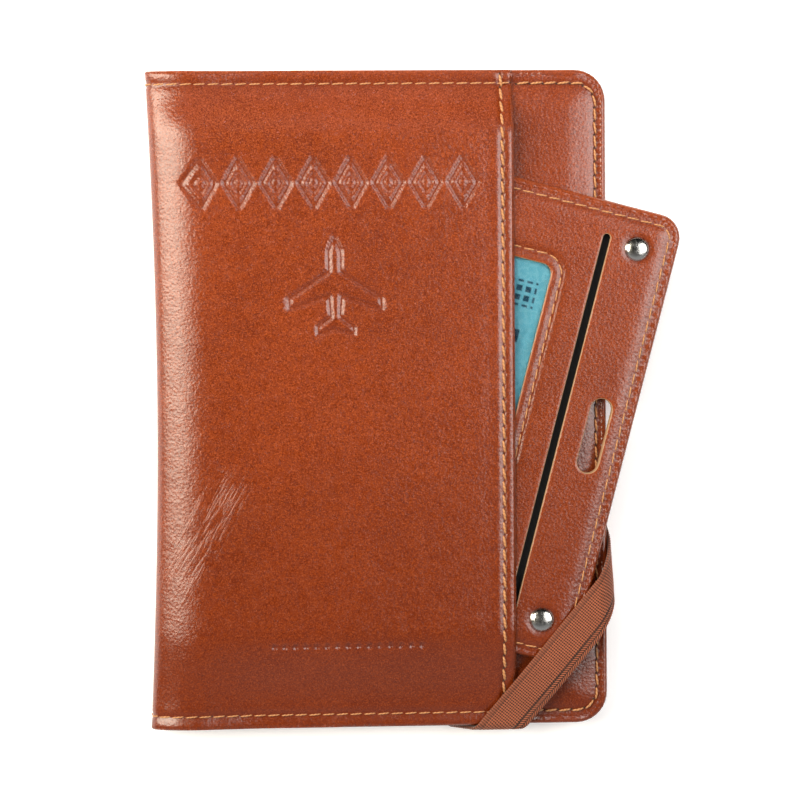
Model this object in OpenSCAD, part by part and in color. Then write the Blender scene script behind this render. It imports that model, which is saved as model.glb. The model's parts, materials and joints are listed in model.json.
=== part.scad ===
// Leather passport holder, lying closed on its back cover.
// X runs from the spine to the fore-edge, Y from foot to head, Z up through the thickness.
// The origin is the centre of the back cover's outer face.

/* [Cover] */
// Width of the closed cover, spine to fore-edge
cover_w = 100; // [98:1:106]
// Height of the cover, foot to head
cover_h = 143; // [141:1:150]
// Radius of the two fore-edge corners
corner_r = 6.8; // [4:0.2:9]
// Thickness of the outer leather
leather_t = 0.9; // [0.8:0.05:0.95]
// Height of the stiffening board, and of the turned edge that frames it
board_t = 1; // [0.8:0.1:1]
// Width of the turned edge round each cover
turned_w = 4; // [3:0.5:5]
// Thickness of the lining cloth
lining_t = 0.4; // [0.3:0.05:0.4]
// Thickness of the passport sleeve's leather
sleeve_t = 0.8; // [0.6:0.1:0.9]
// Thickness of one card slot leaf
slot_leaf_t = 0.45; // [0.35:0.05:0.45]
// Rise from one card slot's mouth to the next
slot_step = 18; // [12:1:20]
// Height of the upper card slot's mouth above the cover's middle
slot_mouth_y = 30; // [26:1:34]
// Distance from the cover's edge to its stitch line, at head and foot
seam_inset = 2.9; // [2.4:0.1:3.2]
// Distance from the fore-edge to its stitch line
fore_seam_inset = 2.3; // [2:0.1:3]
// Thickness of the sewing thread where it lies on the leather
thread_w = 0.5; // [0.4:0.05:0.6]

/* [Slip pocket] */
// Width of the front panel, spine to pocket mouth
pocket_w = 79.6; // [76:0.2:80]
// Thickness of the front panel's leather
panel_t = 0.8; // [0.7:0.05:0.8]
// Width of the hem turned under along the mouth
hem_w = 9; // [6:0.5:12]
// Distance from the mouth to its stitch line
hem_seam_inset = 2.6; // [2:0.1:3.5]
// Highest point of the pouch towards the head
pouch_head_y = 60.5; // [60:0.5:62]
// Lowest point of the pouch towards the foot
pouch_foot_y = -57.5; // [-58:0.5:-57]

/* [Card holder] */
// Width of the card holder
holder_w = 77; // [76.6:0.2:78]
// Height of the card holder
holder_h = 100.6; // [99:0.2:101]
// Radius of its corners
holder_r = 5.2; // [4:0.2:6]
// Tilt of the card holder, clockwise
holder_tilt = 14.7; // [13:0.1:15]
// Distance that its upper right corner stands past the fore-edge
holder_reach = 17.1; // [15:0.1:19]
// Height of its upper right corner above the cover's middle
holder_rise = 38.5; // [37:0.1:39]
// Thickness of each of its two leathers
holder_leather_t = 0.8; // [0.7:0.05:0.8]
// Distance from its free edge to the middle of the card slit
slit_inset = 15.8; // [14.8:0.1:16]
// Length of the card slit
slit_l = 86.6; // [86:0.2:88]
// Width of the card slit
slit_w = 1.6; // [1.2:0.1:2]
// Distance from its free edge to the window
window_inset = 25.6; // [24:0.2:27]
// Width of the window
window_w = 39; // [36:0.5:40]
// Height of the window
window_h = 67.2; // [64:0.2:70]
// Length of the hang slot
hang_l = 16.6; // [14:0.2:18]
// Width of the hang slot
hang_w = 4.7; // [4:0.1:5]
// Distance from its free edge to the middle of the hang slot
hang_inset = 7.6; // [7:0.1:8]
// Diameter of a rivet's cap
rivet_d = 5.3; // [4.8:0.1:5.5]
// Distance from its free edge to the rivets
rivet_inset = 8.8; // [8:0.1:9]
// Distance from its head and foot to the rivets
rivet_end_inset = 8.6; // [8:0.1:9]

/* [Elastic band] */
// Width of the elastic band
band_w = 8.7; // [8:0.1:9]
// Thickness of the elastic band
band_t = 0.8; // [0.6:0.1:0.8]
// Angle that the band makes with the foot of the cover
band_angle = 50.4; // [49:0.2:52]
// Distance from the cover's square corner to the middle of the band
band_corner_gap = 18; // [17.6:0.1:18.2]
// Gap between the band and the edges that it wraps
band_gap = 0.4; // [0.3:0.1:0.6]

/* [Hidden] */
$fn = 64;
cut = 1;                       // how far a cutting shape runs past the face it cuts
side_gap = 0.2;                // gap between a board and the turned edge that frames it
groove_d = 0.25;               // depth of the groove that a sunk thread lies in
groove_w = thread_w + 0.2;
groove_gap = 0.05;             // gap between a sunk thread and the groove's floor or the face it is under
seam_h = 0.25;                 // height of a thread lying on the leather

left_x = -cover_w / 2;
right_x = cover_w / 2;
head_y = cover_h / 2;
foot_y = -cover_h / 2;
spine_skin_t = leather_t;
spine_lining_t = 0.5;
fold_gap = 0.1;                // running gap between the spine and the covers it joins
cover_x = left_x + spine_skin_t + spine_lining_t + fold_gap;
lining_inset = 0.6;            // how far the lining stands in from the cover's edge
leaf_inset = 1;                // how far the sleeve and the card slots stand in from it
leaf_x = cover_x + 3;          // the card slots' edge beside the spine
leaf_seam_x = cover_x + 5;     // their stitch line beside the spine
seam_end_gap = 1;              // how far a stitch line stops short of an edge
fold_corner_r = 1;             // radius of a cover's corners at the fold

// Levels through the thickness, from the back cover's outer face up
back_inside_z = leather_t + board_t;
back_sleeve_z = back_inside_z + lining_t;
base_top_z = 8;
base_z = base_top_z - leather_t;
front_inside_z = base_z - board_t;
front_lining_z = front_inside_z - lining_t;
panel_top_z = 12.2;
flange_top_z = base_top_z + panel_t;
pouch_slope = 5.5;             // width over which the front panel falls from the pouch to the seam
pouch_gap = 1;                 // how far the hem and its stitches stop short of the pouch's ends
sleeve_w = 62;
hem_t = 0.4;
mouth_x = left_x + pocket_w;

// Card holder levels and widths
holder_z = base_top_z + 0.1;
holder_turn_t = 0.6;           // height of each leather's turned edge
holder_turn_w = 3.5;
strip_w = 13;                  // width of the solid strip that carries the slot and the rivets
holder_in_z = holder_z + holder_leather_t;
holder_mid_z = holder_in_z + holder_turn_t;
holder_face_z = holder_mid_z + holder_turn_t;
holder_top_z = holder_face_z + holder_leather_t;
holder_seam_inset = 2.4;
pocket_r = 1.7;                // radius of the pocket's corners
liner_t = 0.2;
liner_r = 1.5;
card_w = 54;                   // a bank card's standard width, height, thickness and corner radius
card_h = 85.6;
card_t = 0.76;
card_r = 3.18;
card_inset = 18;
card_gap = 0.05;               // gap between the card and the liner under it
film_t = 0.15;
film_lap = 3;
window_r = 2;
window_seam_gap = 2.3;
rivet_post_d = 2;
rivet_back_d = 4.4;
rivet_back_t = 0.3;
rivet_rim_t = 0.25;
rivet_dome_h = 0.6;
dome_step = 0.1;               // how far the dome stands in from the rim
post_gap = 0.1;                // how much wider than the post its bore is
recess_gap = 0.3;              // how much wider than the rivet's back its recess is

// Elastic band levels
band_z = holder_top_z + 0.05;
band_top_z = band_z + band_t;
band_end_t = 0.75;
band_end_z = back_inside_z - band_end_t;
band_end_l = 3.7;              // how far each sewn end reaches into the back cover
band_side_x = right_x + band_gap;
band_side_y = foot_y - band_gap;
band_inner = band_corner_gap + band_w / 2;
band_outer = band_corner_gap - band_w / 2;

// Flat shapes

// A rectangle whose left and right corners have their own radii
module round_rect(x0, x1, y0, y1, left_r, right_r) {
    translate([x0 + left_r, y0])
        square([x1 - x0 - left_r - right_r, y1 - y0]);
    for (end = [[x0, left_r, 0], [x1, right_r, 1]]) {
        r = end[1];
        translate([end[2] == 0 ? x0 : x1 - r, y0 + r])
            square([r, y1 - y0 - 2 * r]);
        for (y = [y0 + r, y1 - r])
            translate([end[2] == 0 ? x0 + r : x1 - r, y])
                circle(r);
    }
}

// A cover's outline, drawn in from its edge by an inset
module cover_outline(inset, x0 = cover_x) {
    round_rect(x0 + inset, right_x - inset, foot_y + inset, head_y - inset,
        fold_corner_r, corner_r - inset);
}

// The stitch line round head, fore-edge and foot, open at the spine
module cover_seam(w) {
    seam_r = corner_r - fore_seam_inset;
    y = head_y - seam_inset;
    difference() {
        round_rect(left_x - 20, right_x - fore_seam_inset + w / 2, -y - w / 2, y + w / 2,
            1, seam_r + w / 2);
        round_rect(left_x - 30, right_x - fore_seam_inset - w / 2, -y + w / 2, y - w / 2,
            1, seam_r - w / 2);
        translate([left_x - 40, foot_y - cut])
            square([cover_x - left_x + 40, cover_h + 2 * cut]);
    }
}

// The part of the stitch line that lies on the base, past the pocket's mouth
module base_seam(w) {
    intersection() {
        cover_seam(w);
        translate([mouth_x + side_gap, foot_y])
            square([cover_w, cover_h]);
    }
}

// The card holder's own axes: origin at its upper right corner, X to the right, Y to the head
module in_holder() {
    translate([right_x + holder_reach, holder_rise])
        rotate(-holder_tilt)
            children();
}

module holder_outline(inset) {
    round_rect(-holder_w + inset, -inset, -holder_h + inset, -inset,
        holder_r - inset, holder_r - inset);
}

// The space inside the card holder, between its turned edges and its solid strip
module holder_pocket() {
    round_rect(-holder_w + holder_turn_w, -strip_w, -holder_h + holder_turn_w,
        -holder_turn_w, pocket_r, pocket_r);
}

module window_outline(grow) {
    round_rect(-window_inset - window_w - grow, -window_inset + grow,
        -(holder_h + window_h) / 2 - grow, -(holder_h - window_h) / 2 + grow,
        window_r + grow, window_r + grow);
}

// A slot with round ends, upright, centred on x
module upright_slot(x, l, w) {
    translate([x, -holder_h / 2]) {
        square([w, l - w], center = true);
        for (side = [-1, 1])
            translate([0, side * (l - w) / 2])
                circle(d = w);
    }
}

module hang_slot() {
    upright_slot(-hang_inset, hang_l, hang_w);
}

module at_rivets() {
    for (y = [-rivet_end_inset, -holder_h + rivet_end_inset])
        translate([-rivet_inset, y])
            children();
}

// A flat shape raised from z0 to z1
module layer(z0, z1) {
    translate([0, 0, z0])
        linear_extrude(z1 - z0)
            children();
}

// Back cover

module back_leather() {
    color("saddlebrown")
        difference() {
            layer(0, back_inside_z)
                cover_outline(0);
            layer(leather_t, back_inside_z + cut)
                cover_outline(turned_w);
            layer(-cut, groove_d + groove_gap)
                cover_seam(groove_w);
            layer(band_end_z, back_inside_z + cut)
                band_end_outlines(side_gap);
        }
}

module back_board() {
    color("burlywood")
        layer(leather_t, back_inside_z)
            cover_outline(turned_w + side_gap);
}

module back_lining() {
    color("sienna")
        layer(back_inside_z, back_sleeve_z)
            cover_outline(lining_inset);
}

// Open towards the spine, sewn in on its other three sides
module passport_sleeve() {
    color("peru")
        layer(back_sleeve_z, back_sleeve_z + sleeve_t)
            cover_outline(leaf_inset, right_x - sleeve_w);
}

module back_stitching() {
    color("goldenrod") {
        layer(groove_gap, groove_d)
            cover_seam(thread_w);
        layer(back_sleeve_z + sleeve_t, back_sleeve_z + sleeve_t + seam_h)
            intersection() {
                cover_seam(thread_w);
                translate([right_x - sleeve_w + 2 * seam_end_gap, foot_y])
                    square([sleeve_w, cover_h]);
            }
    }
}

// Sections

// The front panel's section across head and foot: flat at its seams, raised over the pouch.
// A point's first number is its distance along Y and its second its height.
function pouch_section(base) = [
    [head_y, base],
    [head_y, flange_top_z],
    [pouch_head_y + pouch_slope, flange_top_z],
    [pouch_head_y, panel_top_z],
    [pouch_foot_y, panel_top_z],
    [pouch_foot_y - pouch_slope, flange_top_z],
    [foot_y, flange_top_z],
    [foot_y, base]
];

// A section drawn in Y and Z, run along X from x0 to x1
module along_x(x0, x1) {
    translate([x0, 0, 0])
        rotate([90, 0, 90])
            linear_extrude(x1 - x0)
                children();
}

// Spine

// The upright wall that both covers fold on, as high as the front panel beside it
module spine_leather() {
    color("saddlebrown")
        along_x(left_x, left_x + spine_skin_t)
            polygon(pouch_section(0));
}

module spine_lining() {
    margin = 1;
    color("sienna")
        translate([left_x + spine_skin_t, foot_y + margin, margin])
            cube([spine_lining_t, cover_h - 2 * margin, flange_top_z - 2 * margin]);
}

// Front cover

module front_leather() {
    color("chocolate")
        difference() {
            layer(front_inside_z, base_top_z)
                cover_outline(0);
            layer(front_inside_z - cut, base_z)
                cover_outline(turned_w);
            layer(base_top_z - groove_d, base_top_z + cut)
                base_seam(groove_w);
        }
}

module front_board() {
    color("burlywood")
        layer(front_inside_z, base_z)
            cover_outline(turned_w + side_gap);
}

module front_lining() {
    color("sienna")
        layer(front_lining_z, front_inside_z)
            cover_outline(lining_inset);
}

// One leaf of the three stepped card slots; number 0 is nearest the lining
module card_slot(number) {
    leaf_y1 = slot_mouth_y - number * slot_step;
    z1 = front_lining_z - number * slot_leaf_t;
    layer(z1 - slot_leaf_t, z1)
        intersection() {
            cover_outline(leaf_inset);
            translate([leaf_x, foot_y])
                square([cover_w, leaf_y1 - foot_y]);
        }
}

module upper_card_slot() {
    color("peru")
        card_slot(0);
}

module middle_card_slot() {
    color("sandybrown")
        card_slot(1);
}

module lower_card_slot() {
    color("peru")
        card_slot(2);
}

// The short seams that hold the leaves along the spine, one on each step
module slot_stitching() {
    color("goldenrod")
        for (number = [0:2]) {
            y1 = slot_mouth_y - number * slot_step - seam_end_gap;
            y0 = number == 2 ? foot_y + turned_w : y1 - slot_step + 2 * seam_end_gap;
            z1 = front_lining_z - (number + 1) * slot_leaf_t;
            translate([leaf_seam_x, y0, z1 - seam_h])
                cube([thread_w, y1 - y0, seam_h]);
        }
}

module pocket_panel() {
    color("chocolate")
        difference() {
            along_x(cover_x, mouth_x)
                difference() {
                    polygon(pouch_section(base_top_z));
                    polygon([
                        [pouch_head_y + pouch_slope - panel_t, base_top_z - cut],
                        [pouch_head_y + pouch_slope - panel_t, base_top_z],
                        [pouch_head_y - panel_t / 2, panel_top_z - panel_t],
                        [pouch_foot_y + panel_t / 2, panel_top_z - panel_t],
                        [pouch_foot_y - pouch_slope + panel_t, base_top_z],
                        [pouch_foot_y - pouch_slope + panel_t, base_top_z - cut]
                    ]);
                }
            layer(base_top_z - cut, panel_top_z + cut)
                difference() {
                    translate([cover_x - cut, foot_y - cut])
                        square([fold_corner_r + cut, cover_h + 2 * cut]);
                    cover_outline(0);
                }
            mouth_seam(groove_w);
        }
    color("chocolate")
        translate([mouth_x - hem_w, pouch_foot_y + pouch_gap, panel_top_z - panel_t - hem_t])
            cube([hem_w, pouch_head_y - pouch_foot_y - 2 * pouch_gap, hem_t]);
}

// The straight stitch line along the mouth, sunk into the panel
module mouth_seam(w) {
    translate([mouth_x - hem_seam_inset - w / 2, pouch_foot_y + pouch_gap, panel_top_z - groove_d])
        cube([w, pouch_head_y - pouch_foot_y - 2 * pouch_gap, groove_d]);
}

module mouth_stitching() {
    color("goldenrod")
        mouth_seam(thread_w);
}

// Thread round the front cover: over the panel's seams, then over the base's own edge
module front_stitching() {
    color("goldenrod") {
        layer(flange_top_z, flange_top_z + seam_h)
            intersection() {
                cover_seam(thread_w);
                translate([left_x, foot_y])
                    square([pocket_w, cover_h]);
            }
        layer(base_top_z - groove_d, base_top_z)
            base_seam(thread_w);
    }
}

// Card holder

module holder_front() {
    color("chocolate")
        in_holder()
            difference() {
                layer(holder_mid_z, holder_top_z)
                    holder_outline(0);
                layer(holder_mid_z - cut, holder_face_z)
                    holder_pocket();
                layer(holder_mid_z - cut, holder_top_z + cut) {
                    window_outline(0);
                    upright_slot(-slit_inset, slit_l, slit_w);
                    hang_slot();
                    at_rivets()
                        circle(d = rivet_post_d + post_gap);
                }
                layer(holder_top_z - groove_d, holder_top_z + cut) {
                    holder_seam(groove_w);
                    window_seam(groove_w);
                }
            }
}

module holder_back() {
    color("saddlebrown")
        in_holder()
            difference() {
                layer(holder_z, holder_mid_z)
                    holder_outline(0);
                layer(holder_in_z, holder_mid_z + cut)
                    holder_pocket();
                layer(holder_z - cut, holder_mid_z + cut) {
                    hang_slot();
                    at_rivets()
                        circle(d = rivet_post_d + post_gap);
                }
                layer(holder_z - cut, holder_z + rivet_back_t + groove_gap)
                    at_rivets()
                        circle(d = rivet_back_d + recess_gap);
            }
}

module holder_liner() {
    liner_inset = holder_turn_w + side_gap;
    color("dimgray")
        in_holder()
            layer(holder_in_z, holder_in_z + liner_t)
                round_rect(-holder_w + liner_inset, -strip_w - side_gap, -holder_h + liner_inset,
                    -liner_inset, liner_r, liner_r);
}

module window_film() {
    color("lightcyan")
        in_holder()
            layer(holder_face_z - film_t, holder_face_z)
                window_outline(film_lap);
}

module holder_seam(w) {
    difference() {
        holder_outline(holder_seam_inset - w / 2);
        holder_outline(holder_seam_inset + w / 2);
    }
}

module window_seam(w) {
    difference() {
        window_outline(window_seam_gap + w / 2);
        window_outline(window_seam_gap - w / 2);
    }
}

module window_stitching() {
    color("goldenrod")
        in_holder()
            layer(holder_top_z - groove_d, holder_top_z)
                window_seam(thread_w);
}

module holder_stitching() {
    color("goldenrod")
        in_holder()
            layer(holder_top_z - groove_d, holder_top_z)
                holder_seam(thread_w);
}

// Two caps: a flat rim with a low dome on it
module rivet_caps() {
    dome_r = rivet_d / 2 - dome_step;
    ball_r = (dome_r * dome_r + rivet_dome_h * rivet_dome_h) / (2 * rivet_dome_h);
    color("silver")
        in_holder()
            at_rivets()
                translate([0, 0, holder_top_z]) {
                    cylinder(d = rivet_d, h = rivet_rim_t);
                    translate([0, 0, rivet_rim_t])
                        intersection() {
                            translate([0, 0, rivet_dome_h - ball_r])
                                sphere(ball_r);
                            cylinder(r = rivet_d, h = rivet_dome_h + cut);
                        }
                }
}

// Two posts, each with its flat back sunk into the rear leather
module rivet_posts() {
    color("gray")
        in_holder()
            at_rivets() {
                translate([0, 0, holder_z + groove_gap])
                    cylinder(d = rivet_back_d, h = rivet_back_t);
                translate([0, 0, holder_z + groove_gap])
                    cylinder(d = rivet_post_d, h = holder_top_z - holder_z - groove_gap);
            }
}

module window_card() {
    card_z = holder_in_z + liner_t + card_gap;
    color("mediumturquoise")
        in_holder()
            layer(card_z, card_z + card_t)
                round_rect(-card_inset - card_w, -card_inset, -(holder_h + card_h) / 2,
                    -(holder_h - card_h) / 2, card_r, card_r);
}

// Elastic band
// The band crosses the fore-edge at fore_y and the foot at foot_x, for a line that lies
// a given distance in from the cover's square corner. Down a side, it leans as it does on top.

function fore_y(in, past) = foot_y + in / cos(band_angle) + past * tan(band_angle);
function foot_x(in, past) = right_x - in / sin(band_angle) - past / tan(band_angle);
function fore_lean(z) = (band_top_z - z) * tan(band_angle);
function foot_lean(z) = (band_top_z - z) / tan(band_angle);

// The outlines of the two sewn ends, seen from above
module band_end_outlines(grow) {
    fore_y0 = fore_y(band_outer, 0) + fore_lean(back_inside_z);
    fore_y1 = fore_y(band_inner, 0) + fore_lean(back_inside_z);
    foot_x0 = foot_x(band_inner, 0) - foot_lean(back_inside_z);
    foot_x1 = foot_x(band_outer, 0) - foot_lean(back_inside_z);
    translate([right_x - band_end_l - grow, fore_y0 - grow])
        square([band_end_l + band_gap + band_t + grow, fore_y1 - fore_y0 + 2 * grow]);
    translate([foot_x0 - grow, foot_y - band_gap - band_t])
        square([foot_x1 - foot_x0 + 2 * grow, band_end_l + band_gap + band_t + grow]);
}

module elastic_ends() {
    color("peru")
        layer(band_end_z + groove_gap, back_inside_z)
            band_end_outlines(0);
}

module elastic_band() {
    outer_x = band_side_x + band_t;
    outer_y = band_side_y - band_t;
    color("peru") {
        // Flat run over the corner
        layer(band_z, band_top_z)
            polygon([
                [outer_x, fore_y(band_outer, band_gap + band_t)],
                [outer_x, fore_y(band_inner, band_gap + band_t)],
                [foot_x(band_inner, band_gap + band_t), outer_y],
                [foot_x(band_outer, band_gap + band_t), outer_y]
            ]);
        // Run down the fore-edge
        along_x(band_side_x, outer_x)
            polygon([
                [fore_y(band_outer, 0), band_top_z],
                [fore_y(band_inner, 0), band_top_z],
                [fore_y(band_inner, 0) + fore_lean(back_inside_z), back_inside_z],
                [fore_y(band_outer, 0) + fore_lean(back_inside_z), back_inside_z]
            ]);
        // Run down the foot
        translate([0, band_side_y, 0])
            rotate([90, 0, 0])
                linear_extrude(band_t)
                    polygon([
                        [foot_x(band_inner, 0), band_top_z],
                        [foot_x(band_outer, 0), band_top_z],
                        [foot_x(band_outer, 0) - foot_lean(back_inside_z), back_inside_z],
                        [foot_x(band_inner, 0) - foot_lean(back_inside_z), back_inside_z]
                    ]);
    }
}

back_leather();
back_board();
back_lining();
passport_sleeve();
back_stitching();
elastic_ends();
spine_leather();
spine_lining();
front_leather();
front_board();
front_lining();
upper_card_slot();
middle_card_slot();
lower_card_slot();
slot_stitching();
pocket_panel();
mouth_stitching();
front_stitching();
holder_front();
holder_back();
holder_liner();
window_film();
window_stitching();
holder_stitching();
rivet_caps();
rivet_posts();
window_card();
elastic_band();
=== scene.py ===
"""The looks of a leather passport holder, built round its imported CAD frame.

Lengths in this file are millimetres in the frame's own axes until a mesh is made, which scales
them by MM. Positions come from the CAD nodes' boxes and from the record. The lamps and the
camera's distance are in metres.
"""
import json
import math

import bpy
import numpy as np
from mathutils import Matrix, Vector, geometry, kdtree, noise


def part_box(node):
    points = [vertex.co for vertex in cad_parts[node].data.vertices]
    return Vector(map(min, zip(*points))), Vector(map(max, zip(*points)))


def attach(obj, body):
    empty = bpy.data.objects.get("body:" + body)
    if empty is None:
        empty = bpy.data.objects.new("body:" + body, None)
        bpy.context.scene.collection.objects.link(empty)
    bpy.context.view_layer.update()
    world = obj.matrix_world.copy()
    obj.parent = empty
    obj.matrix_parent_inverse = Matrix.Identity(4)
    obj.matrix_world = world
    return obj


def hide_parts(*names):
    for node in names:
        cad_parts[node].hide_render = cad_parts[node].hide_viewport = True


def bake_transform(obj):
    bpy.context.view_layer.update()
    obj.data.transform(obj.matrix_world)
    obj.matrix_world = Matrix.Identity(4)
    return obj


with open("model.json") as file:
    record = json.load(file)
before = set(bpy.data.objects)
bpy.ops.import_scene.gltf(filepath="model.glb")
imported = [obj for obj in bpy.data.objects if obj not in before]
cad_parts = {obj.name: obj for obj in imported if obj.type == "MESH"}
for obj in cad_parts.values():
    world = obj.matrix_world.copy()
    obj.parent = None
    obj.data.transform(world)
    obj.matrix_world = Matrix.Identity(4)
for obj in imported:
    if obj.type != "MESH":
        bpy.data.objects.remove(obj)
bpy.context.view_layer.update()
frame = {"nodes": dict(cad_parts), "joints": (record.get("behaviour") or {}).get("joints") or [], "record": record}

MM = 0.001
QUARTER = math.pi / 2


# ---------------------------------------------------------------- places taken from the frame

def box(node):
    """A CAD node's lowest and highest corner, in millimetres."""
    low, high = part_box(node)
    return np.array(low) / MM, np.array(high) / MM


def joint_axis(name):
    return next(j for j in frame["joints"] if j["name"] == name)["axis"]


LEFT, FOOT = box("spine_leather")[0][:2]
RIGHT, HEAD = box("front_leather")[1][:2]
BASE_UNDER, BASE_TOP = (corner[2] for corner in box("front_leather"))
MOUTH, _, PANEL_TOP = box("pocket_panel")[1]
FOLD_X = box("back_leather")[0][0]
BACK_INSIDE = box("back_leather")[1][2]
BACK_LINING_TOP = box("back_lining")[1][2]
SLEEVE_X = box("passport_sleeve")[0][0]
SLEEVE_TOP = box("passport_sleeve")[1][2]
FRONT_LINING_UNDER = box("front_lining")[0][2]
HOLDER_UNDER, HOLDER_SPLIT = (corner[2] for corner in box("holder_back"))
HOLDER_TOP = box("holder_front")[1][2]

LEATHER_T = 0.9
PANEL_T = 0.8
TURNED_W = 4.0             # how far the covers' edges are turned in
CORNER_R = 6.8
LEAF_X = FOLD_X + 1.8      # where the covers' flat leaves start
LINING_INSET = 0.6
SEAM_INSET = 2.9           # head and foot stitch lines, from the edge
FORE_SEAM_INSET = 2.3      # fore-edge stitch line, from the edge
MOUTH_SEAM_INSET = 2.6     # stitch line along the pocket's mouth
SEAM_Y = HEAD - SEAM_INSET
SEAM_X = RIGHT - FORE_SEAM_INSET
SEAM_R = CORNER_R - FORE_SEAM_INSET

# The card holder, in its own axes: origin at its upper right corner, X to the right, Y to the head
HOLDER_W, HOLDER_H, HOLDER_R = 77.0, 100.6, 5.2
HOLDER_SEAM_INSET = 2.4
HOLDER_TURN_W = 3.5        # its turned edge
STRIP_W = 13.0             # its solid strip at the free edge
WINDOW_SEAM_GAP = 2.3
HANG_X = -7.6              # the middle of its hang slot
RIVET_R = 2.65
RIVET_SPOTS = [(-8.8, -8.6), (-8.8, -HOLDER_H + 8.6)]

slide_axis = joint_axis("holder_slide")
slot_mount = next(m for m in frame["record"]["mounts"] if m["name"] == "hang_slot")


def from_holder(x, y):
    """The card holder's own axes turned into the frame's."""
    c, s = slide_axis[:2]
    x, y = x - HANG_X, y + HOLDER_H / 2
    return (slot_mount["pos_m"][0] / MM + x * c - y * s,
            slot_mount["pos_m"][1] / MM + x * s + y * c)


# ---------------------------------------------------------------- small numeric helpers

def smooth(t):
    t = np.clip(t, 0, 1)
    return t * t * (3 - 2 * t)


def bump_at(distance, width):
    """1 on a line and 0 away from it."""
    return np.exp(-(distance / width) ** 2)


def rounded(depth, radius):
    """How far a rounded edge falls at a depth in from it."""
    t = np.clip(1 - depth / radius, 0, 1)
    return radius * (1 - np.sqrt(np.maximum(0, 1 - t * t)))


def waves(points, size, seed=0.0):
    """Smooth noise between -1 and 1 over flat points, with bumps of about that size."""
    p = np.asarray(points, float) / size
    return np.array([noise.noise(Vector((x, y, seed))) for x, y in p])


def unit(vectors):
    return vectors / np.linalg.norm(vectors, axis=1)[:, None]


def run_length(line):
    """The way along a polyline to each of its points."""
    return np.concatenate([[0], np.cumsum(np.linalg.norm(np.diff(line, axis=0), axis=1))])


def pick(values, length, at):
    """Rows of values, known at some lengths, read off at others."""
    return np.column_stack([np.interp(at, length, column) for column in values.T])


def circle(sides):
    return np.arange(sides) * 2 * np.pi / sides


# ---------------------------------------------------------------- outlines

class Outline:
    """A rectangle whose left and right corners have their own radii, as may its low right one."""

    def __init__(self, x0, x1, y0, y1, left_r, right_r, low_right_r=None):
        self.x0, self.x1, self.y0, self.y1 = x0, x1, y0, y1
        self.left_r, self.right_r = left_r, right_r
        self.low_right_r = right_r if low_right_r is None else low_right_r

    def grown(self, by, radius):
        """This outline grown by a distance, or shrunk by a negative one, with its own radius."""
        return Outline(self.x0 - by, self.x1 + by, self.y0 - by, self.y1 + by, radius, radius)

    def distance(self, p):
        """Depth inside the outline: positive inside, negative outside."""
        centre = np.array([(self.x0 + self.x1) / 2, (self.y0 + self.y1) / 2])
        half = np.array([(self.x1 - self.x0) / 2, (self.y1 - self.y0) / 2])
        q = np.asarray(p, float) - centre
        r = np.where(q[:, 0] > 0, np.where(q[:, 1] > 0, self.right_r, self.low_right_r), self.left_r)
        q = np.abs(q) - half + r[:, None]
        outside = np.linalg.norm(np.maximum(q, 0), axis=1)
        return -(outside + np.minimum(q.max(axis=1), 0) - r)

    def loop(self, step, inset=0.0):
        """Points anticlockwise round the outline, drawn in by an inset."""
        x0, x1 = self.x0 + inset, self.x1 - inset
        y0, y1 = self.y0 + inset, self.y1 - inset
        left_r, right_r, low_r = (max(r - inset, 0.05)
                                  for r in (self.left_r, self.right_r, self.low_right_r))
        corners = [(x1 - low_r, y0 + low_r, low_r, -90), (x1 - right_r, y1 - right_r, right_r, 0),
                   (x0 + left_r, y1 - left_r, left_r, 90), (x0 + left_r, y0 + left_r, left_r, 180)]
        points = []
        for cx, cy, r, first in corners:
            turns = max(2, math.ceil(r * QUARTER / min(step, max(r / 3, 0.05))))
            for k in range(turns + 1):
                a = math.radians(first + 90 * k / turns)
                points.append((cx + r * math.cos(a), cy + r * math.sin(a)))
        out = []
        for a, b in zip(points, points[1:] + points[:1]):
            a, b = np.array(a), np.array(b)
            parts = max(1, round(np.linalg.norm(b - a) / step))
            out += [tuple(a + (b - a) * k / parts) for k in range(parts)]
        return out

    def ring(self, inset):
        """A closed line round the outline, drawn in by an inset."""
        loop = self.loop(0.5, inset)
        return loop + loop[:1]


def depth_in(outer, holes, p):
    return np.min([outer.distance(p)] + [-h.distance(p) for h in holes], axis=0)


def rows_near(line, step, offsets):
    """Extra mesh points in rows beside a polyline."""
    line = np.asarray(line, float)
    length = run_length(line)
    centre = pick(line, length, np.linspace(0, length[-1], max(2, int(length[-1] / step))))
    along = unit(np.gradient(centre, axis=0))
    side = np.column_stack([-along[:, 1], along[:, 0]])
    return np.concatenate([centre + side * o for o in offsets])


def patch(x0, x1, y0, y1, step):
    """Extra mesh points in a fine grid."""
    gx, gy = np.meshgrid(np.arange(x0, x1, step), np.arange(y0, y1, step))
    return np.column_stack([gx.ravel(), gy.ravel()])


def dense(a, b, step=0.4):
    """Points along a straight line."""
    a, b = np.array(a, float), np.array(b, float)
    n = max(2, int(np.linalg.norm(b - a) / step))
    return a + (b - a) * np.linspace(0, 1, n)[:, None]


# ---------------------------------------------------------------- mesh making

def make_object(name, points, faces, material, extras=None, face_material=None):
    """A smooth mesh object from points in millimetres; extras are named point attributes."""
    mesh = bpy.data.meshes.new(name)
    mesh.from_pydata((np.asarray(points) * MM).tolist(), [], faces)
    for m in material if isinstance(material, list) else [material]:
        mesh.materials.append(m)
    if face_material is not None:
        mesh.polygons.foreach_set("material_index", face_material)
    mesh.shade_smooth()
    rest = mesh.attributes.new("rest", "FLOAT_VECTOR", "POINT")
    rest.data.foreach_set("vector", np.asarray(points, np.float32).ravel())
    for key, values in (extras or {}).items():
        made = mesh.attributes.new(key, "FLOAT", "POINT")
        made.data.foreach_set("value", np.asarray(values, np.float32))
    mesh.update()
    obj = bpy.data.objects.new(name, mesh)
    bpy.context.scene.collection.objects.link(obj)
    return obj


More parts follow.
